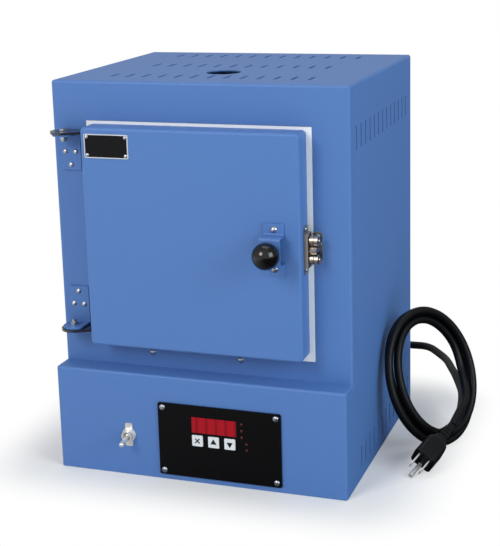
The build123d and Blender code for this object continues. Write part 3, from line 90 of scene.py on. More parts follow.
def linear(hex_colour: str) -> tuple[float, float, float, float]:
    """Turns an sRGB hex colour into the linear RGBA that the shader takes.

    Args:
        hex_colour: Six hex digits, such as "3968BC".

    Returns:
        The linear colour with alpha 1.
    """
    channels = [int(hex_colour[i : i + 2], 16) / 255 for i in (0, 2, 4)]
    values = [c / 12.92 if c <= 0.04045 else ((c + 0.055) / 1.055) ** 2.4 for c in channels]
    return (values[0], values[1], values[2], 1.0)


def node(
    material: bpy.types.Material | bpy.types.World,
    kind: str,
    links: dict[str | int, bpy.types.NodeSocket] | None = None,
    values: dict[str | int, object] | None = None,
    **settings: object,
) -> bpy.types.Node:
    """Adds a shader node with its settings, its socket values and its incoming links.

    Args:
        material: The material or world whose node tree it joins.
        kind: The node's bl_idname, such as "ShaderNodeTexNoise".
        links: Output sockets to link in, by this node's input name or index.
        values: Values for this node's own inputs, by name or index.
        settings: Attributes of the node.

    Returns:
        The new node.
    """
    made = material.node_tree.nodes.new(kind)
    for name, value in settings.items():
        setattr(made, name, value)
    for key, value in (values or {}).items():
        made.inputs[key].default_value = value
    for key, socket in (links or {}).items():
        material.node_tree.links.new(socket, made.inputs[key])
    return made


@dataclass(frozen=True)
class Finish:
    """A finish on a real material: its colour, how it shines and how its surface varies."""

    name: str
    colour: str
    variation: str
    roughness: float
    grain_mm: float
    metallic: float = 0.0
    roughness_spread: float = 0.06
    bump_mm: float = 0.02
    stretch: Point = (1.0, 1.0, 1.0)
    coat: float = 0.0
    coat_roughness: float = 0.1
    specular: float = 0.5

    def make(self) -> bpy.types.Material:
        """Builds the procedural material.

        Returns:
            The material, with colour, roughness and bump driven by noise in Object coordinates.
        """
        material = bpy.data.materials.new(self.name)
        material.use_nodes = True
        material.node_tree.nodes.clear()
        place = node(material, "ShaderNodeTexCoord")
        spread = node(
            material, "ShaderNodeMapping", {"Vector": place.outputs["Object"]}, {"Scale": self.stretch}
        )
        grain = node(
            material,
            "ShaderNodeTexNoise",
            {"Vector": spread.outputs["Vector"]},
            {"Scale": 1.0 / (self.grain_mm * MM), "Detail": 3.0, "Roughness": 0.55},
        )
        patches = node(
            material,
            "ShaderNodeTexNoise",
            {"Vector": spread.outputs["Vector"]},
            {"Scale": PATCH_SCALE, "Detail": 2.0},
        )
        mixed = node(
            material,
            "ShaderNodeMath",
            {0: grain.outputs["Fac"], 1: patches.outputs["Fac"]},
            operation="ADD",
        )
        share = node(
            material,
            "ShaderNodeMapRange",
            {"Value": mixed.outputs[0]},
            {"From Min": 0.35, "From Max": 0.62},
        )
        colour = node(
            material,
            "ShaderNodeMix",
            {0: share.outputs["Result"]},
            {6: linear(self.variation), 7: linear(self.colour)},
            data_type="RGBA",
        )
        gloss = node(
            material,
            "ShaderNodeMapRange",
            {"Value": grain.outputs["Fac"]},
            {
                "To Min": self.roughness - self.roughness_spread,
                "To Max": self.roughness + self.roughness_spread,
            },
        )
        relief = node(
            material,
            "ShaderNodeBump",
            {"Height": grain.outputs["Fac"]},
            {"Distance": self.bump_mm * MM, "Strength": 0.6},
        )
        shader = node(
            material,
            "ShaderNodeBsdfPrincipled",
            {
                "Base Color": colour.outputs[2],
                "Roughness": gloss.outputs["Result"],
                "Normal": relief.outputs["Normal"],
            },
            {
                "Metallic": self.metallic,
                "Coat Weight": self.coat,
                "Coat Roughness": self.coat_roughness,
                "Specular IOR Level": self.specular,
            },
        )
        self.adjust(material, shader, place)
        node(material, "ShaderNodeOutputMaterial", {"Surface": shader.outputs["BSDF"]})
        return material

    def adjust(self, material: bpy.types.Material, shader: bpy.types.Node, place: bpy.types.Node) -> None:
        """A plain finish adds nothing; the classes below change the colour or the relief."""


@dataclass(frozen=True)
class FibreBoard(Finish):
    """Vacuum-formed ceramic fibre: chalky white, matt, with a felted face and a few soft pits."""

    felt_mm: float = 2.5
    pit_mm: float = 6.25
    pit_depth_mm: float = 0.5

    def adjust(self, material: bpy.types.Material, shader: bpy.types.Node, place: bpy.types.Node) -> None:
        """Adds felted strands and shallow pits.

        Args:
            material: The material being built.
            shader: Its Principled node.
            place: Its Texture Coordinate node.
        """
        felt = node(
            material,
            "ShaderNodeTexVoronoi",
            {"Vector": place.outputs["Object"]},
            {"Scale": 1.0 / (self.felt_mm * MM), "Randomness": 1.0},
        )
        pits = node(
            material,
            "ShaderNodeTexNoise",
            {"Vector": place.outputs["Object"]},
            {"Scale": 1.0 / (self.pit_mm * MM), "Detail": 6.0},
        )
        relief_height = node(
            material,
            "ShaderNodeMath",
            {0: felt.outputs["Distance"], 1: pits.outputs["Fac"]},
            operation="MULTIPLY",
        )
        relief = node(
            material,
            "ShaderNodeBump",
            {"Height": relief_height.outputs[0]},
            {"Distance": self.pit_depth_mm * MM, "Strength": 0.7},
        )
        material.node_tree.links.new(relief.outputs["Normal"], shader.inputs["Normal"])


@dataclass(frozen=True)
class BorderedPlate(Finish):
    """Dark anodised plate whose rim is left bright; its face is bare."""

    centre: tuple[float, float] = (-0.09, 0.3655)
    half_size: tuple[float, float] = (0.025, 0.0127)
    rim_mm: float = 1.0
    rim_colour: str = "C9CBCE"

    def adjust(self, material: bpy.types.Material, shader: bpy.types.Node, place: bpy.types.Node) -> None:
        """Paints the bright rim where the surface is within rim_mm of the plate's edge.

        Args:
            material: The material being built.
            shader: Its Principled node.
            place: Its Texture Coordinate node.
        """
        axes = node(material, "ShaderNodeSeparateXYZ", {"Vector": place.outputs["Object"]})
        past = []
        for axis, centre, half in (
            ("X", self.centre[0], self.half_size[0]), ("Z", self.centre[1], self.half_size[1])
        ):
            shifted = node(
                material, "ShaderNodeMath", {0: axes.outputs[axis]}, {1: centre}, operation="SUBTRACT"
            )
            away = node(material, "ShaderNodeMath", {0: shifted.outputs[0]}, operation="ABSOLUTE")
            past.append(
                node(
                    material,
                    "ShaderNodeMath",
                    {0: away.outputs[0]},
                    {1: half - self.rim_mm * MM},
                    operation="GREATER_THAN",
                )
            )
        rim = node(
            material, "ShaderNodeMath", {0: past[0].outputs[0], 1: past[1].outputs[0]}, operation="MAXIMUM"
        )
        face = shader.inputs["Base Color"].links[0].from_socket
        mix = node(
            material, "ShaderNodeMix", {0: rim.outputs[0], 6: face}, {7: linear(
                self.rim_colour
            )}, data_type="RGBA"
        )
        material.node_tree.links.new(mix.outputs[2], shader.inputs["Base Color"])


@dataclass(frozen=True)
class DisplayFilter(Finish):
    """Red acrylic filter in front of the display: the digit cells show through it faintly."""

    cell_mm: float = 11.0

    def adjust(self, material: bpy.types.Material, shader: bpy.types.Node, place: bpy.types.Node) -> None:
        """Adds the faint upright cells behind the filter.

        Args:
            material: The material being built.
            shader: Its Principled node.
            place: Its Texture Coordinate node.
        """
        cells = node(
            material,
            "ShaderNodeTexWave",
            {"Vector": place.outputs["Object"]},
            {"Scale": 2 * math.pi / (20 * self.cell_mm * MM), "Distortion": 0.0},
            bands_direction="X",
        )
        share = node(
            material,
            "ShaderNodeMapRange",
            {"Value": cells.outputs["Fac"]},
            {"From Min": 0.08, "From Max": 0.3},
        )
        shade = node(
            material,
            "ShaderNodeMix",
            {0: share.outputs["Result"]},
            {6: linear(self.variation), 7: linear(self.colour)},
            data_type="RGBA",
        )
        material.node_tree.links.new(shade.outputs[2], shader.inputs["Base Color"])


def brushed(
    name: str, colour: str, variation: str, roughness: float, stretch: Point = (1.0, 1.0, 12.0)
) -> Finish:
    """A metal with fine lines from its making.

    Args:
        name: The finish's name.
        colour: Its main colour.
        variation: The colour of its darker lines.
        roughness: Its mean roughness.
        stretch: Scale along each axis; the lines run along the axis with the smallest.

    Returns:
        The finish.
    """
    return Finish(name, colour, variation, roughness, 1.2, metallic=1.0, stretch=stretch, bump_mm=0.01)


class Finishes:
    """Every finish on the kiln, made once and shared by the pieces that have it."""

    def __init__(self) -> None:
        """Builds the materials."""
        # Polyester powder coat: an even blue film, semi-gloss, with the faint pebble of orange peel
        # (about 1.5 mm across, which is as coarse as it shows).
        self.paint = Finish(
            "blue_powder_coat",
            "4F76B3",
            "4B72AF",
            0.44,
            1.5,
            bump_mm=0.012,
            roughness_spread=0.03,
            specular=0.3,
        ).make()
        # Vacuum-formed alumina-silica fibre: chalky, no shine, a felted grain of 2 to 3 mm.
        self.fibre = FibreBoard("ceramic_fibre_board", "E7E9EF", "DBDDE4", 0.95, 3.0, specular=0.1).make()
        # Hot-dip galvanised sheet: dull grey with soft spangles of about 8 mm.
        self.galvanised = Finish(
            "galvanised_sheet", "A4A8AA", "8B9093", 0.45, 8.0, metallic=1.0, bump_mm=0.0
        ).make()
        # Bright zinc plating on turned screws: pale, with fine turning lines.
        self.zinc = brushed("zinc_plated_steel", "B0B5BD", "8E949D", 0.3).make()
        # Nickel plating on pressed steel: a warmer grey than zinc, smooth but not a mirror.
        self.nickel = Finish(
            "nickel_plated_steel", "B8AEA2", "9C9084", 0.32, 2.0, metallic=1.0, bump_mm=0.004
        ).make()
        # Satin nickel over brass on the switch and the plug's blades: pale, with a soft white sheen.
        self.satin_nickel = Finish(
            "satin_nickel_plating", "E4E2DE", "D2D0CB", 0.3, 2.0, metallic=0.6, bump_mm=0.002
        ).make()
        # Aluminium blind rivets: pale, softly peened by the tool.
        self.rivet = Finish(
            "peened_aluminium", "BDC2CC", "9EA4B0", 0.36, 1.5, metallic=1.0, bump_mm=0.02
        ).make()
        # Baked enamel on strap steel: glossy black that mirrors the case behind it at a flat angle; the
        # blue in its blue-black colour is painted reflection of the blue case.
        self.black_enamel = Finish(
            "baked_black_enamel", "151A2C", "1B2136", 0.2, 2.0, bump_mm=0.004, specular=1.0
        ).make()
        # Compression-moulded phenolic: deep black, polished by its mould.
        self.phenolic = Finish(
            "polished_phenolic",
            "060506",
            "0A0809",
            0.14,
            6.0,
            bump_mm=0.003,
            roughness_spread=0.03,
            specular=0.5,
        ).make()
        # Anodised aluminium plate: black-grey face, its rim cut bright.
        low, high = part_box("door_plate")
        self.door_plate = BorderedPlate(
            "dark_anodised_plate",
            "08090C",
            "0E0F13",
            0.36,
            1.5,
            bump_mm=0.004,
            specular=0.15,
            centre=((low.x + high.x) / 2, (low.z + high.z) / 2),
            half_size=((high.x - low.x) / 2, (high.z - low.z) / 2),
        ).make()
        # Screen-printed polyester overlay: black, fine satin.
        self.overlay = Finish(
            "satin_polyester_overlay", "08080A", "0C0C0F", 0.4, 0.8, bump_mm=0.004, specular=0.12
        ).make()
        # Cast acrylic, coloured through: a clear red with a sharp gloss.
        self.display = DisplayFilter(
            "red_acrylic_filter", "A01420", "86101C", 0.16, 5.0, bump_mm=0.0, specular=0.15
        ).make()
        # Moulded ABS key caps: near-white, fine satin texture.
        self.key_cap = Finish(
            "moulded_abs_keys", "D8DADE", "CBCDD2", 0.42, 0.8, bump_mm=0.006, specular=0.3
        ).make()
        # Pad-printed ink: flat black.
        self.key_ink = Finish(
            "black_key_ink", "141416", "1B1B1E", 0.6, 0.8, bump_mm=0.0, specular=0.2
        ).make()
        # Diffused red lamps, unlit: a dark clear red.
        self.lamp = Finish("unlit_red_lamp", "4E1013", "3C0C0F", 0.25, 3.0, bump_mm=0.0).make()
        # Iron-chrome-aluminium wire after firing: a dull grey-brown oxide skin.
        self.wire = Finish(
            "oxidised_heating_wire", "5A544E", "3E3936", 0.55, 2.0, metallic=0.6, bump_mm=0.01
        ).make()
        # Glazed steatite: off-white under a thin clear glaze.
        self.porcelain = Finish(
            "glazed_steatite", "DED9CB", "D2CBB9", 0.22, 5.0, bump_mm=0.01, coat=0.4, coat_roughness=0.08
        ).make()
        # Stainless probe sheath that has been hot: straw and brown tints.
        self.sheath = Finish(
            "heat_tinted_sheath", "7B6F63", "5E544B", 0.36, 4.0, metallic=1.0, bump_mm=0.005
        ).make()
        # Plasticised PVC of the lead and the plug: black, satin, a little dusty.
        self.pvc = Finish(
            "black_pvc", "09090B", "111114", 0.40, 2.5, bump_mm=0.02, roughness_spread=0.08, specular=0.2
        ).make()
        # Solder mask over copper: green, slightly glossy.
        self.board = Finish("solder_mask_board", "1B5A38", "164A2E", 0.35, 3.0, bump_mm=0.01).make()
        # Moulded thermoplastic case: black, fine satin.
        self.relay = Finish("black_thermoplastic", "1A1A1B", "232324", 0.42, 1.0, bump_mm=0.01).make()
        # Stacked steel laminations under varnish: brown-grey with fine level lines.
        self.varnish = Finish(
            "varnished_laminations", "4A4744", "3A3735", 0.4, 0.6, metallic=0.5, stretch=(1.0, 10.0, 1.0)
        ).make()
        # Moulded nylon: milky white, satin.
        self.strip = Finish("nylon_terminal_strip", "D9D5C8", "CEC9BA", 0.45, 2.0, bump_mm=0.01).make()

    def by_slot(self) -> dict[str, bpy.types.Material]:
        """The material for each slot of the record."""
        return {
            "blue_paint": self.paint,
            "zinc_sheet": self.galvanised,
            "zinc_screws": self.zinc,
            "ceramic_fibre": self.fibre,
            "element_wire": self.wire,
            "porcelain": self.porcelain,
            "probe_sheath": self.sheath,
            "black_steel": self.black_enamel,
            "rivets": self.rivet,
            "black_phenolic": self.phenolic,
            "anodised_plate": self.door_plate,
            "bright_steel": self.nickel,
            "spring_steel": self.zinc,
            "face_film": self.overlay,
            "display_window": self.display,
            "key_caps": self.key_cap,
            "indicator_lights": self.lamp,
            "circuit_board": self.board,
            "relay_case": self.relay,
            "transformer": self.varnish,
            "terminal_strip": self.strip,
            "black_rubber": self.pvc,
            "plug_blades": self.satin_nickel,
        }


# ---------------------------------------------------------------------------
# Camera, light and floor
# ---------------------------------------------------------------------------


@dataclass(frozen=True)
class Lamp:
    """A soft square lamp: where it hangs, how large and strong it is, and its tint."""

    name: str
    place: Point
    size: float
    watts: float
    tint: Point = (1.0, 1.0, 1.0)


@dataclass
class Studio:
    """The photograph's camera, a soft studio light and a white floor."""

    azimuth: float = 19.654
    elevation: float = 12.701
    roll: float = -1.581
    location: Point = (0.50347, -1.374836, 0.603079)
    focal_pixels: float = 1316.385
    photo_height: int = 546
    axis_row: float = 205.0
    sensor: float = 36.0
    room_left: float = 0.5
    room_right: float = 0.28
    room_span: tuple[float, float] = (-0.6, 0.9)
    mirror_front: float = 0.8
    mirror_back: float = 0.2
    mirror_span: tuple[float, float] = (-0.6, 0.3)
    paper: str = "F2F2F2"
    # Painted shade: near the kiln the camera sees this darker copy of the paper, which fades to white
    # further out.
    shaded_paper: str = "DCDCDC"
    dark_paper: str = "1A1A1C"
    floor_lift: float = 0.12
    footprint: Point = (0.17, 0.14, 1.0)
    fade_from: float = 0.015
    fade_to: float = 0.11
    flag_from: float = -0.7
    flag_to: float = 0.2
    flag_level: float = 0.05
    aim_height: float = 0.22
    lamps: tuple[Lamp, ...] = (
        Lamp("key", (-1.0, -2.4, 1.8), 1.1, 38.5, (1.0, 0.965, 0.945)),
        Lamp("fill", (2.4, -1.1, 1.3), 1.5, 41.0, (0.78, 0.93, 1.0)),
        Lamp("top", (0.1, 0.4, 2.4), 1.6, 12.0),
    )

    def camera(self) -> None:
        """Makes the camera from the pose that was fitted to the case's edges."""
        azimuth, elevation, roll = (math.radians(a) for a in (self.azimuth, self.elevation, self.roll))
        back = Vector(
            (
                math.sin(azimuth) * math.cos(elevation),
                -math.cos(azimuth) * math.cos(elevation),
                math.sin(elevation),
            )
        )
        level = (-back).cross(Vector((0, 0, 1))).normalized()
        upright = level.cross(-back)
        right = level * math.cos(roll) + upright * math.sin(roll)
        up = upright * math.cos(roll) - level * math.sin(roll)
        data = bpy.data.cameras.new("camera")
        data.sensor_width = self.sensor
        data.lens = self.focal_pixels / self.photo_height * self.sensor
        data.shift_y = (self.axis_row - self.photo_height / 2) / self.photo_height
        data.clip_start, data.clip_end = 0.05, 50.0
        camera = bpy.data.objects.new("camera", data)
        turned = Matrix((right, up, back)).transposed().to_4x4()
        camera.matrix_world = Matrix.Translation(self.location) @ turned
        bpy.context.scene.collection.objects.link(camera)
        bpy.context.scene.camera = camera

    def hang(self, lamp: Lamp) -> None:
        """Hangs a lamp so that it faces the kiln.

        Args:
            lamp: The lamp's place, size, power and tint.
        """
        data = bpy.data.lights.new(lamp.name, "AREA")
        data.shape = "SQUARE"
        data.size = lamp.size
        data.energy = lamp.watts
        data.color = lamp.tint
        hung = bpy.data.objects.new(lamp.name, data)
        hung.location = lamp.place
        hung.rotation_mode = "QUATERNION"
        way = Vector((0, 0, self.aim_height)) - Vector(lamp.place)
        hung.rotation_quaternion = way.to_track_quat("-Z", "Y")
        bpy.context.scene.collection.objects.link(hung)

    def world(self) -> None:
        """Lights the room evenly, dimmer on the right, with a white backdrop for the eye and for gloss."""
        world = bpy.data.worlds.new("studio")
        world.use_nodes = True
        world.node_tree.nodes.clear()
        bpy.context.scene.world = world
        place = node(world, "ShaderNodeTexCoord")
        axes = node(world, "ShaderNodeSeparateXYZ", {"Vector": place.outputs["Generated"]})
        side = node(
            world,
            "ShaderNodeMapRange",
            {"Value": axes.outputs["X"]},
            {
                "From Min": self.room_span[0],
                "From Max": self.room_span[1],
                "To Min": self.room_left,
                "To Max": self.room_right,
            },
        )
        mirrored = node(
            world,
            "ShaderNodeMapRange",
            {"Value": axes.outputs["Y"]},
            {
                "From Min": self.mirror_span[0],
                "From Max": self.mirror_span[1],
                "To Min": self.mirror_front,
                "To Max": self.mirror_back,
            },
        )
        path = node(world, "ShaderNodeLightPath")
        shine = node(
            world,
            "ShaderNodeMath",
            {0: path.outputs["Is Glossy Ray"], 1: mirrored.outputs["Result"]},
            operation="MULTIPLY",
        )
        seen = node(
            world,
            "ShaderNodeMath",
            {0: path.outputs["Is Camera Ray"], 1: path.outputs["Is Transmission Ray"]},
            operation="MAXIMUM",
        )
        strongest = node(
            world, "ShaderNodeMath", {0: seen.outputs[0], 1: shine.outputs[0]}, operation="MAXIMUM"
        )
        level = node(
            world,
            "ShaderNodeMath",
            {0: strongest.outputs[0], 1: side.outputs["Result"]},
            operation="MAXIMUM",
        )
        light = node(world, "ShaderNodeBackground", {"Strength": level.outputs[0]}, {"Color": (1, 1, 1, 1)})
        node(world, "ShaderNodeOutputWorld", {"Surface": light.outputs[0]})

    def floor(self) -> None:
        """Makes the white sweep that the kiln stands on; it keeps the kiln's shadow."""
        deselect()
        bpy.ops.mesh.primitive_plane_add(size=12.0, location=(0, 0, -0.0004))
        floor = bpy.context.object
        floor.name = "floor"
        material = bpy.data.materials.new("paper_sweep")
        material.use_nodes = True
        material.node_tree.nodes.clear()
        path = node(material, "ShaderNodeLightPath")
        paper = node(material, "ShaderNodeBsdfDiffuse", values={"Color": linear(self.paper)})
        lift = node(
            material, "ShaderNodeEmission", values={"Color": (1, 1, 1, 1), "Strength": self.floor_lift}
        )
        # Painted shade: the darker copy of the paper that the camera sees round the kiln's foot.
        shaded = node(material, "ShaderNodeBsdfDiffuse", values={"Color": linear(self.shaded_paper)})
        lit = node(material, "ShaderNodeAddShader", {0: shaded.outputs[0], 1: lift.outputs[0]})
        white = node(material, "ShaderNodeEmission", values={"Color": (1, 1, 1, 1), "Strength": 1.0})
        place = node(material, "ShaderNodeTexCoord")
        spread = node(material, "ShaderNodeVectorMath", {0: place.outputs["Object"]}, operation="ABSOLUTE")
        beside = node(
            material,
            "ShaderNodeVectorMath",
            {0: spread.outputs[0]},
            {1: self.footprint},
            operation="SUBTRACT",
        )
        outside = node(
            material,
            "ShaderNodeVectorMath",
            {0: beside.outputs[0]},
            {1: (0.0, 0.0, 0.0)},
            operation="MAXIMUM",
        )
        away = node(material, "ShaderNodeVectorMath", {0: outside.outputs[0]}, operation="LENGTH")
        # The painted shade fades from the footprint's edge out to plain white.
        fade = node(
            material,
            "ShaderNodeMapRange",
            {"Value": away.outputs["Value"]},
            {"From Min": self.fade_from, "From Max": self.fade_to},
            interpolation_type="SMOOTHSTEP",
        )
        sweep = node(
            material,
            "ShaderNodeMixShader",
            {0: fade.outputs["Result"], 1: lit.outputs[0], 2: white.outputs[0]},
        )
        mirror = node(
            material,
            "ShaderNodeMath",
            {0: path.outputs["Is Glossy Ray"], 1: path.outputs["Is Transmission Ray"]},
            operation="MAXIMUM",
        )
        axes = node(material, "ShaderNodeSeparateXYZ", {"Vector": place.outputs["Object"]})
        flag = node(
            material,
            "ShaderNodeMapRange",
            {"Value": axes.outputs["X"]},
            {
                "From Min": self.flag_from,
                "From Max": self.flag_to,
                "To Min": 1.0,
                "To Max": self.flag_level,
            },
        )
        dark = node(material, "ShaderNodeBsdfDiffuse", values={"Color": linear(self.dark_paper)})
        mirrored = node(
            material,
            "ShaderNodeMixShader",
            {0: flag.outputs["Result"], 1: dark.outputs[0], 2: sweep.outputs[0]},
        )
        plain = node(
            material,
            "ShaderNodeMixShader",
            {0: path.outputs["Is Camera Ray"], 1: paper.outputs[0], 2: sweep.outputs[0]},
        )
        mix = node(
            material,
            "ShaderNodeMixShader",
            {0: mirror.outputs[0], 1: plain.outputs[0], 2: mirrored.outputs[0]},
        )
        node(material, "ShaderNodeOutputMaterial", {"Surface": mix.outputs[0]})
        floor.data.materials.append(material)

    def build(self) -> None:
        """Makes the camera, the lamps, the world and the floor."""
        self.camera()
        self.world()
        for lamp in self.lamps:
            self.hang(lamp)
        self.floor()
        bpy.context.scene.view_settings.view_transform = "Standard"


# ---------------------------------------------------------------------------
# Modelling helpers
# ---------------------------------------------------------------------------


def deselect() -> None:
    """Clears the selection, which the frame's loading leaves full."""
    if bpy.context.mode != "OBJECT":
        bpy.ops.object.mode_set(mode="OBJECT")
    bpy.ops.object.select_all(action="DESELECT")


def start(add: Callable[..., object], name: str, **settings: object) -> bpy.types.Object:
    """Adds a primitive, named, selected and in object mode.

    Args:
        add: The bpy.ops.mesh primitive operator.
        name: The piece's name.
        settings: The operator's settings.

    Returns:
        The new object.
    """
    deselect()
    add(**settings)
    piece = bpy.context.object
    piece.name = name
    piece.data.name = name
    return piece


def settle(piece: bpy.types.Object) -> bpy.types.Object:
    """Puts the piece's place, turn and scale into its mesh, so that its object sits at the origin.

    Args:
        piece: A mesh object.

    Returns:
        The same object.
    """
    deselect()
    piece.select_set(True)
    bpy.context.view_layer.objects.active = piece
    bpy.ops.object.transform_apply(location=True, rotation=True, scale=True)
    return piece


def pick(piece: bpy.types.Object, wanted: Callable[[Vector, Vector], bool]) -> None:
    """Enters edit mode with just the faces selected whose centre and normal are wanted.

    Args:
        piece: A mesh object.
        wanted: A test of a face's centre and normal, both in the mesh's own frame.
    """
    deselect()
    piece.select_set(True)
    bpy.context.view_layer.objects.active = piece
    bpy.ops.object.mode_set(mode="EDIT")
    bpy.ops.mesh.select_mode(type="FACE")
    bpy.ops.mesh.select_all(action="DESELECT")
    mesh = bmesh.from_edit_mesh(piece.data)
    for face in mesh.faces:
        face.select_set(wanted(face.calc_center_median(), face.normal))
    bmesh.update_edit_mesh(piece.data)


def draw_out(direction: Vector, centre: Vector, steps: Iterable[tuple[float, float]]) -> None:
    """Draws the selected end face out in steps, each as far and then as much scaled as it says.

    Args:
        direction: The way it is drawn.
        centre: The face's centre at the start.
        steps: Distance and scale for each step.
    """
    for distance, scale in steps:
        bpy.ops.mesh.extrude_region_move(TRANSFORM_OT_translate={"value": tuple(direction * distance)})
        centre = centre + direction * distance
        if scale != 1.0:
            bpy.ops.transform.resize(value=(scale, scale, scale), center_override=tuple(centre))


def done(piece: bpy.types.Object, smooth_angle: float = 40.0) -> bpy.types.Object:
    """Leaves edit mode, makes the normals point out and shades the soft edges smooth.

    Args:
        piece: A mesh object.
        smooth_angle: Edges flatter than this, in degrees, are shaded smooth.

    Returns:
        The same object.
    """
    if bpy.context.mode != "EDIT_MESH":
        bpy.context.view_layer.objects.active = piece
        bpy.ops.object.mode_set(mode="EDIT")
    bpy.ops.mesh.select_all(action="SELECT")
    bpy.ops.mesh.remove_doubles(threshold=1e-6)
    bpy.ops.mesh.normals_make_consistent(inside=False)
    bpy.ops.object.mode_set(mode="OBJECT")
    bpy.ops.object.shade_smooth_by_angle(angle=math.radians(smooth_angle))
    return piece


def rounded(
    piece: bpy.types.Object, width: float, segments: int = 2, angle: float = 35.0, lengthwise: bool = False
) -> bpy.types.Object:
    """Rounds the piece's sharp edges with a bevel that is applied.

    Args:
        piece: A mesh object.
        width: The bevel's width.
        segments: How many faces the round has.
        angle: Edges sharper than this, in degrees, are rounded.
        lengthwise: Rounds only the edges that run along Z, with widths that follow the faces beside them.

    Returns:
        The same object.
    """
    deselect()
    piece.select_set(True)
    bpy.context.view_layer.objects.active = piece
    bevel = piece.modifiers.new("bevel", "BEVEL")
    bevel.width = width
    bevel.segments = segments
    bevel.limit_method = "ANGLE"
    bevel.angle_limit = math.radians(angle)
    if lengthwise:
        weights = piece.data.attributes.new("bevel_weight_edge", "FLOAT", "EDGE")
        widest = max(abs(v.co.x) for v in piece.data.vertices)
        for edge in piece.data.edges:
            ends = [piece.data.vertices[v].co for v in edge.vertices]
            runs_along = abs(ends[1].z - ends[0].z) > 1e-5
            size = max(abs(ends[0].x), abs(ends[1].x)) / widest
            weights.data[edge.index].value = size if runs_along else 0.0
        bevel.limit_method = "WEIGHT"
    bpy.ops.object.modifier_apply(modifier=bevel.name)
    return piece


def finish_piece(
    piece: bpy.types.Object, material: bpy.types.Material, body: str
) -> bpy.types.Object:
    """Dresses a piece and makes it ride on its body.

    Args:
        piece: The piece.
        material: Its material.
        body: The CAD body that carries it.

    Returns:
        The same object.
    """
    piece.data.materials.clear()
    piece.data.materials.append(material)
    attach(piece, body)
    LOG.info("%s rides on %s", piece.name, body)
    return piece


# ---------------------------------------------------------------------------
# The kiln's own pieces
# ---------------------------------------------------------------------------


@dataclass
class MainsLead:
    """The mains lead: out of the back, round the corner, and into a loose coil that leans on the case."""

    finishes: Finishes
    radius: float = 0.0047
    route: tuple[Point, ...] = (
        (0.0980, 0.1718, 0.0430),
        (0.0980, 0.1973, 0.0425),
        (0.1050, 0.2210, 0.0410),
        (0.1220, 0.2385, 0.0400),
        (0.1450, 0.2440, 0.0380),
        (0.1696, 0.2366, 0.0410),
        (0.1874, 0.2150, 0.0400),
        (0.2014, 0.1944, 0.0398),
        (0.2108, 0.1706, 0.0400),
        (0.2214, 0.1457, 0.0392),
        (0.2304, 0.1243, 0.0352),
        (0.2379, 0.1025, 0.0332),
        (0.2420, 0.0782, 0.0296),
        (0.2429, 0.0589, 0.0239),
    )
    tail: tuple[Point, ...] = (
        (0.2434, 0.0739, 0.0654),
        (0.2545, 0.0423, 0.0499),
        (0.2504, 0.0138, 0.0434),
        (0.2478, -0.0111, 0.0367),
    )
    centre: Point = (0.2144, 0.0348, 0.0772)
    half_width: float = 0.0595
    half_height: float = 0.0703
    yaw: float = 59.7
    lean: float = 20.8
    first_angle: float = 284.2
    last_angle: float = 16.0
    whole_turns: int = 2
    points_per_turn: int = 16
    bundle_offset: float = 0.00594
    first_phase: float = -133.8
    phase_step: float = -121.55
    size_spread: float = 0.008
    size_rate: float = 0.37
    size_start: float = -0.556
    fan: float = 0.002
    fan_at: float = 182.0
    fan_phase: float = 70.0
    declared_length: float = 1.59

    def turn_points(self) -> list[Point]:
        """The coil's turns: a diameter apart round the bundle, unlike in size and fanned out at the side.

        Returns:
            Control points in the order in which the lead runs.
        """
        yaw, lean = math.radians(self.yaw), math.radians(self.lean)
        level = Vector((math.cos(yaw), math.sin(yaw), 0))
        normal = Vector((math.sin(yaw) * math.cos(lean), -math.cos(yaw) * math.cos(lean), math.sin(lean)))
        rise = normal.cross(level)
        turns = (self.first_angle - self.last_angle) / 360 + self.whole_turns
        count = round(turns * self.points_per_turn)
        # The curve cuts inside its control points, so half of that is given back.
        grown = 1 + (1 / math.cos(math.pi / self.points_per_turn) ** 2 - 1) / 2
        points = []
        for i in range(count + 1):
            turned = turns * i / count
            angle = math.radians(self.first_angle - 360 * turned)
            outward = level * math.cos(angle) * self.half_height + rise * math.sin(angle) * self.half_width
            outward.normalize()
            phase = math.radians(self.first_phase + self.phase_step * turned)
            wave = math.sin(2 * math.pi * turned * self.size_rate + self.size_start)
            size = grown * (1 + self.size_spread * wave)
            loose = self.fan * max(0.0, math.cos(angle - math.radians(self.fan_at))) ** 2
            spot = (
                Vector(self.centre)
                + level * math.cos(angle) * self.half_width * size
                + rise * math.sin(angle) * self.half_height * size
                + (normal * math.cos(phase) + outward * math.sin(phase)) * self.bundle_offset
                + outward * loose * math.cos(phase - math.radians(self.fan_phase))
            )
            points.append(tuple(spot))
        return points

    def build(self, plug: bpy.types.Object) -> bpy.types.Object:
        """Makes the lead as one NURBS curve with a round bevel.

        Args:
            plug: The moulded plug on its far end; not used.

        Returns:
            The curve object.
        """
        points = [*self.route, *self.turn_points(), *self.tail]
        curve = bpy.data.curves.new("mains_lead", "CURVE")
        curve.dimensions = "3D"
        curve.bevel_depth = self.radius
        curve.bevel_resolution = 5
        curve.resolution_u = 8
        curve.use_fill_caps = True
        spline = curve.splines.new("NURBS")
        spline.points.add(len(points) - 1)
        for target, point in zip(spline.points, points):
            target.co = (*point, 1.0)
        spline.order_u = 3
        spline.use_endpoint_u = True
        lead = bpy.data.objects.new("mains_lead", curve)
        bpy.context.scene.collection.objects.link(lead)
        curve.materials.append(self.finishes.pvc)
        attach(lead, "case")
        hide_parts("power_cord", "cord_coil", "plug_lead")
        LOG.info("mains lead with %d control points", len(points))
        return lead


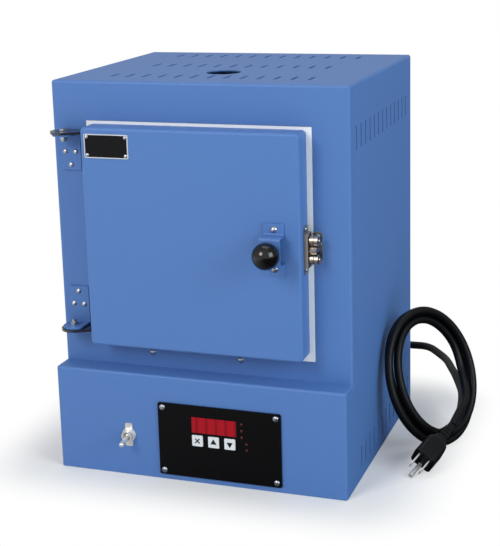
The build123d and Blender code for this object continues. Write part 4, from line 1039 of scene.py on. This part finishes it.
@dataclass
class MouldedPlug:
    """The plug: a soft-edged body with a flat face, whose ribbed neck narrows down to the lead."""

    finishes: Finishes
    face: Point = (0.2255, -0.0649, 0.0155)
    heading: float = 247.5
    dip: float = 20.0
    roll: float = -33.4
    width: float = 0.025
    height: float = 0.024
    front: float = 0.0216
    corner: float = 0.0052
    neck: tuple[tuple[float, float], ...] = (
        (0.0060, 0.90),
        (0.0060, 0.74),
        (0.0030, 0.86),
        (0.0030, 1.00),
        (0.0000, 0.86),
        (0.0016, 1.00),
        (0.0000, 1.14),
        (0.0030, 1.00),
        (0.0000, 0.84),
        (0.0016, 1.00),
        (0.0000, 1.12),
        (0.0030, 0.98),
        (0.0000, 0.84),
        (0.0016, 1.00),
        (0.0000, 1.10),
        (0.0030, 0.96),
        (0.0000, 0.86),
        (0.0076, 0.94),
    )

    def build(self) -> bpy.types.Object:
        """Models the plug lengthwise along Z and then lays it in its place.

        Returns:
            The plug.
        """
        heading, dip, roll = (math.radians(a) for a in (self.heading, self.dip, self.roll))
        aim = Vector((math.cos(heading) * math.cos(dip), math.sin(heading) * math.cos(dip), -math.sin(dip)))
        level = Vector((-math.sin(heading), math.cos(heading), 0))
        across = level * math.cos(roll) + aim.cross(level) * math.sin(roll)
        upward = (-aim).cross(across)
        plug = start(
            bpy.ops.mesh.primitive_cube_add, "moulded_plug", size=1.0, location=(0, 0, self.front / 2)
        )
        plug.scale = (self.width, self.height, self.front)
        settle(plug)
        pick(plug, lambda centre, normal: normal.z > 0.9)
        draw_out(Vector((0, 0, 1)), Vector((0, 0, self.front)), self.neck)
        done(plug)
        rounded(plug, self.corner, 5, 60, lengthwise=True)
        rounded(plug, 0.0005, 2, 30)
        laid = Matrix((across, upward, -aim)).transposed().to_4x4()
        plug.matrix_world = Matrix.Translation(self.face) @ laid
        settle(plug)
        done(plug, 35)
        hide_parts("plug_body")
        return finish_piece(plug, self.finishes.pvc, "case")


@dataclass
class StrainRelief:
    """The lead's bush in the back panel: a flange, then a ribbed boot that tapers down to the lead."""

    finishes: Finishes
    root: float = 0.0078
    collar: float = 0.0040
    clear: float = 0.0002
    boot: tuple[tuple[float, float], ...] = (
        (0.0022, 1.00),
        (0.0000, 0.86),
        (0.0016, 1.00),
        (0.0000, 1.13),
        (0.0022, 0.97),
        (0.0000, 0.86),
        (0.0016, 1.00),
        (0.0000, 1.12),
        (0.0022, 0.96),
        (0.0000, 0.87),
        (0.0016, 1.00),
        (0.0000, 1.11),
        (0.0022, 0.95),
        (0.0000, 0.89),
        (0.0016, 1.00),
    )

    def build(self) -> bpy.types.Object:
        """Models the bush along +Y from inside the panel to the boot's mouth.

        Returns:
            The bush.
        """
        low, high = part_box("strain_relief")
        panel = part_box("back_panel")[1].y
        middle_x, middle_z = (low.x + high.x) / 2, (low.z + high.z) / 2
        flange = (high.x - low.x) / 2 - self.clear
        bush = start(
            bpy.ops.mesh.primitive_cylinder_add,
            "strain_relief_boot",
            vertices=40,
            radius=self.root,
            depth=panel - low.y,
            location=(middle_x, (panel + low.y) / 2, middle_z),
            rotation=(math.pi / 2, 0, 0),
        )
        settle(bush)
        pick(bush, lambda centre, normal: normal.y > 0.9)
        left = high.y - panel
        length = sum(step for step, _ in self.boot)
        share = (left - self.collar) / length
        eased = 0.93
        steps = [
            (0.0, flange / self.root),
            (self.collar * 0.7, 1.0),
            (self.collar * 0.3, eased),
            (0.0, self.root / (flange * eased)),
        ]
        steps += [(step * share, size) for step, size in self.boot]
        draw_out(Vector((0, 1, 0)), Vector((middle_x, panel, middle_z)), steps)
        done(bush)
        rounded(bush, 0.00025, 2, 30)
        done(bush, 35)
        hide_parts("strain_relief")
        return finish_piece(bush, self.finishes.pvc, "case")


@dataclass
class CadDress:
    """The CAD nodes that are shown as they are, each in the finish of its slot, and the toggle switch in
    satin nickel.
    """

    finishes: Finishes

    def build(self) -> None:
        """Gives every CAD node its slot's material, and the toggle switch's nodes satin nickel."""
        slots = {part["node"]: part["material_slot"] for part in FRAME["record"]["subparts"]}
        table = self.finishes.by_slot()
        switch = self.finishes.satin_nickel
        for name, piece in FRAME["nodes"].items():
            piece.data.materials.clear()
            piece.data.materials.append(switch if name.startswith("toggle_") else table[slots[name]])
        LOG.info("%d CAD nodes dressed", len(FRAME["nodes"]))


@dataclass
class BallKnob:
    """The door's knob, turned as a smooth ball with a flat where it seats on its strap."""

    finishes: Finishes
    radius: float = 0.014

    def build(self) -> None:
        """Makes the ball and replaces the CAD knob with it."""
        low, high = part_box("knob")
        reach = (high.x - low.x) / 2
        centre = Vector(((low.x + high.x) / 2, low.y + reach, (low.z + high.z) / 2))
        knob = start(
            bpy.ops.mesh.primitive_uv_sphere_add,
            "ball_knob",
            segments=64,
            ring_count=40,
            radius=self.radius,
            location=centre,
            rotation=(math.pi / 2, 0, 0),
        )
        settle(knob)
        bpy.ops.object.mode_set(mode="EDIT")
        bpy.ops.mesh.select_all(action="SELECT")
        bpy.ops.mesh.bisect(
            plane_co=(centre.x, high.y, centre.z),
            plane_no=(0, 1, 0),
            clear_outer=True,
            clear_inner=False,
            use_fill=True,
        )
        done(knob, 30)
        rounded(knob, 0.0006, 3, 30)
        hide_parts("knob")
        finish_piece(knob, self.finishes.phenolic, "door")


@dataclass
class PanHeads:
    """The faceplate's four screws: low domed heads with a cross recess."""

    finishes: Finishes
    radius: float = 0.0034
    height: float = 0.0021
    inset: tuple[float, float] = (0.0054, 0.0051)
    recess_length: float = 0.0036
    recess_width: float = 0.0008
    recess_depth: float = 0.0011
    seat: float = 0.00005

    def head(self) -> bpy.types.Object:
        """Models one head on the origin, facing -Y, and cuts its recess.

        Returns:
            The head.
        """
        head = start(
            bpy.ops.mesh.primitive_uv_sphere_add,
            "pan_head",
            segments=40,
            ring_count=20,
            radius=self.radius,
            rotation=(math.pi / 2, 0, 0),
        )
        head.scale.z = self.height / self.radius
        settle(head)
        bpy.ops.object.mode_set(mode="EDIT")
        bpy.ops.mesh.select_all(action="SELECT")
        bpy.ops.mesh.bisect(
            plane_co=(0, 0, 0), plane_no=(0, 1, 0), clear_outer=True, clear_inner=False, use_fill=True
        )
        done(head, 30)
        for angle in (0, 90):
            slot = start(
                bpy.ops.mesh.primitive_cube_add, "recess", size=1.0, location=(0, -self.height, 0)
            )
            slot.scale = (self.recess_length, 2 * self.recess_depth, self.recess_width)
            slot.rotation_euler.y = math.radians(angle)
            settle(slot)
            deselect()
            head.select_set(True)
            bpy.context.view_layer.objects.active = head
            cut = head.modifiers.new("recess", "BOOLEAN")
            cut.operation = "DIFFERENCE"
            cut.object = slot
            bpy.ops.object.modifier_apply(modifier=cut.name)
            bpy.data.objects.remove(slot)
        return head

    def build(self) -> None:
        """Copies the head to the faceplate's corners, as one piece, and replaces the CAD screws with it."""
        low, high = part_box("control_faceplate")
        across, down = self.inset
        pattern = self.head()
        heads = []
        for x, z, lean in (
            (low.x + across, high.z - down, 20),
            (high.x - across, high.z - down, 55),
            (low.x + across, low.z + down, 75),
            (high.x - across, low.z + down, 35),
        ):
            head = pattern.copy()
            head.data = pattern.data.copy()
            bpy.context.scene.collection.objects.link(head)
            turned = Matrix.Rotation(math.radians(lean), 4, "Y")
            head.matrix_world = Matrix.Translation((x, low.y - self.seat, z)) @ turned
            heads.append(settle(head))
        bpy.data.objects.remove(pattern)
        deselect()
        for head in heads:
            head.select_set(True)
        bpy.context.view_layer.objects.active = heads[0]
        bpy.ops.object.join()
        piece = heads[0]
        piece.name = piece.data.name = "faceplate_screw_heads"
        done(piece, 35)
        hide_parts("faceplate_screws")
        finish_piece(piece, self.finishes.zinc, "case")


@dataclass
class HeatingCoil:
    """One side wall's heating element: a close helix of wire along the runs in its groove."""

    finishes: Finishes
    side: Side
    rod_radius: float = 0.003
    wire_radius: float = 0.00055
    pitch: float = 0.0026
    bend: float = 0.009
    bend_steps: int = 6
    far_turn: float = 0.04875
    gaps: int = 5
    points_per_turn: int = 10

    def runs(self, low: Vector, high: Vector) -> list[Vector]:
        """The corner points of the element's runs, from one tail to the other.

        Args:
            low: The CAD element's lowest corner.
            high: Its highest corner.

        Returns:
            The points in order.
        """
        across = (low.x + high.x) / 2
        near, tail = low.y + self.rod_radius, high.y
        top, bottom = high.z - self.rod_radius, low.z + self.rod_radius
        pitch = (top - bottom) / self.gaps
        points = [Vector((across, tail, top))]
        for run in range(self.gaps):
            turn = self.far_turn if run % 2 else near
            points.append(Vector((across, turn, top - run * pitch)))
            points.append(Vector((across, turn, top - (run + 1) * pitch)))
        points.append(Vector((across, tail, bottom)))
        return points

    def build(self) -> None:
        """Winds the wire along the runs and replaces the CAD rod."""
        hand = "left" if self.side is Side.LEFT else "right"
        name = f"element_{hand}"
        low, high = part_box(name)
        points = self.runs(low, high)
        rounded_points: list[Vector] = [points[0]]
        for before, here, after in zip(points, points[1:], points[2:]):
            back = (before - here).normalized() * self.bend
            ahead = (after - here).normalized() * self.bend
            for step in range(self.bend_steps + 1):
                share = math.radians(90 / self.bend_steps * step)
                centre = here + back + ahead
                rounded_points.append(centre - ahead * math.cos(share) - back * math.sin(share))
        rounded_points.append(points[-1])
        path: list[Vector] = []
        for a, b in zip(rounded_points, rounded_points[1:]):
            steps = max(1, round((b - a).length / (self.pitch / self.points_per_turn)))
            path.extend(a.lerp(b, i / steps) for i in range(steps))
        path.append(rounded_points[-1])
        coil_radius = self.rod_radius - self.wire_radius
        travelled = 0.0
        winding = []
        for i, spot in enumerate(path):
            if i:
                travelled += (spot - path[i - 1]).length
            ahead = (path[min(i + 1, len(path) - 1)] - path[max(i - 1, 0)]).normalized()
            across = Vector((1, 0, 0))
            over = ahead.cross(across)
            turn = travelled / self.pitch * 2 * math.pi
            winding.append(spot + (across * math.cos(turn) + over * math.sin(turn)) * coil_radius)
        curve = bpy.data.curves.new(f"heating_coil_{hand}", "CURVE")
        curve.dimensions = "3D"
        curve.bevel_depth = self.wire_radius
        curve.bevel_resolution = 0
        curve.use_fill_caps = True
        spline = curve.splines.new("POLY")
        spline.points.add(len(winding) - 1)
        for target, spot in zip(spline.points, winding):
            target.co = (*spot, 1.0)
        coil = bpy.data.objects.new(f"heating_coil_{hand}", curve)
        bpy.context.scene.collection.objects.link(coil)
        deselect()
        coil.select_set(True)
        bpy.context.view_layer.objects.active = coil
        bpy.ops.object.convert(target="MESH")
        coil = bpy.context.object
        bpy.ops.object.shade_smooth()
        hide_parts(name)
        finish_piece(coil, self.finishes.wire, "case")


@dataclass
class KeyMark:
    """The mark printed on a key: a cross or an arrowhead."""

    finishes: Finishes
    key: str
    mark: Mark
    size: float = 0.0072
    ink: float = 0.00006
    stroke_share: float = 0.2
    arrow_share: float = 0.56

    def build(self) -> None:
        """Makes the mark as a thin layer of ink on the key's face."""
        low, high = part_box(f"key_{self.key}")
        middle = Vector(((low.x + high.x) / 2, low.y, (low.z + high.z) / 2))
        if self.mark is Mark.CROSS:
            strokes = []
            for lean in (45, -45):
                stroke = start(
                    bpy.ops.mesh.primitive_cube_add, f"mark_{self.key}", size=1.0, location=middle
                )
                stroke.scale = (self.size, 2 * self.ink, self.size * self.stroke_share)
                stroke.rotation_euler.y = math.radians(lean)
                strokes.append(settle(stroke))
            deselect()
            for stroke in strokes:
                stroke.select_set(True)
            bpy.context.view_layer.objects.active = strokes[0]
            bpy.ops.object.join()
            piece = strokes[0]
            rounded(piece, self.ink * 0.5, 1)
            done(piece)
        else:
            piece = start(
                bpy.ops.mesh.primitive_cylinder_add,
                f"mark_{self.key}",
                vertices=3,
                radius=self.size * self.arrow_share,
                depth=2 * self.ink,
                location=middle,
                rotation=(math.pi / 2, 0, 0),
            )
            settle(piece)
            low_z = min(v.co.z for v in piece.data.vertices)
            high_z = max(v.co.z for v in piece.data.vertices)
            points_up = sum(1 for v in piece.data.vertices if v.co.z > (low_z + high_z) / 2) == 2
            wants_up = self.mark is Mark.UP
            if points_up != wants_up:
                for vertex in piece.data.vertices:
                    vertex.co.z = 2 * middle.z - vertex.co.z
            done(piece)
        finish_piece(piece, self.finishes.key_ink, f"{self.key}_key")


def main() -> None:
    """Builds the scene: the studio first, then the finishes, the plug and lead, and the other pieces."""
    Studio().build()
    finishes = Finishes()
    plug = MouldedPlug(finishes).build()
    MainsLead(finishes).build(plug)
    CadDress(finishes).build()
    StrainRelief(finishes).build()
    BallKnob(finishes).build()
    PanHeads(finishes).build()
    for side in Side:
        HeatingCoil(finishes, side).build()
    for key, mark in (("enter", Mark.CROSS), ("up", Mark.UP), ("down", Mark.DOWN)):
        KeyMark(finishes, key, mark).build()


if __name__ == "__main__":
    main()
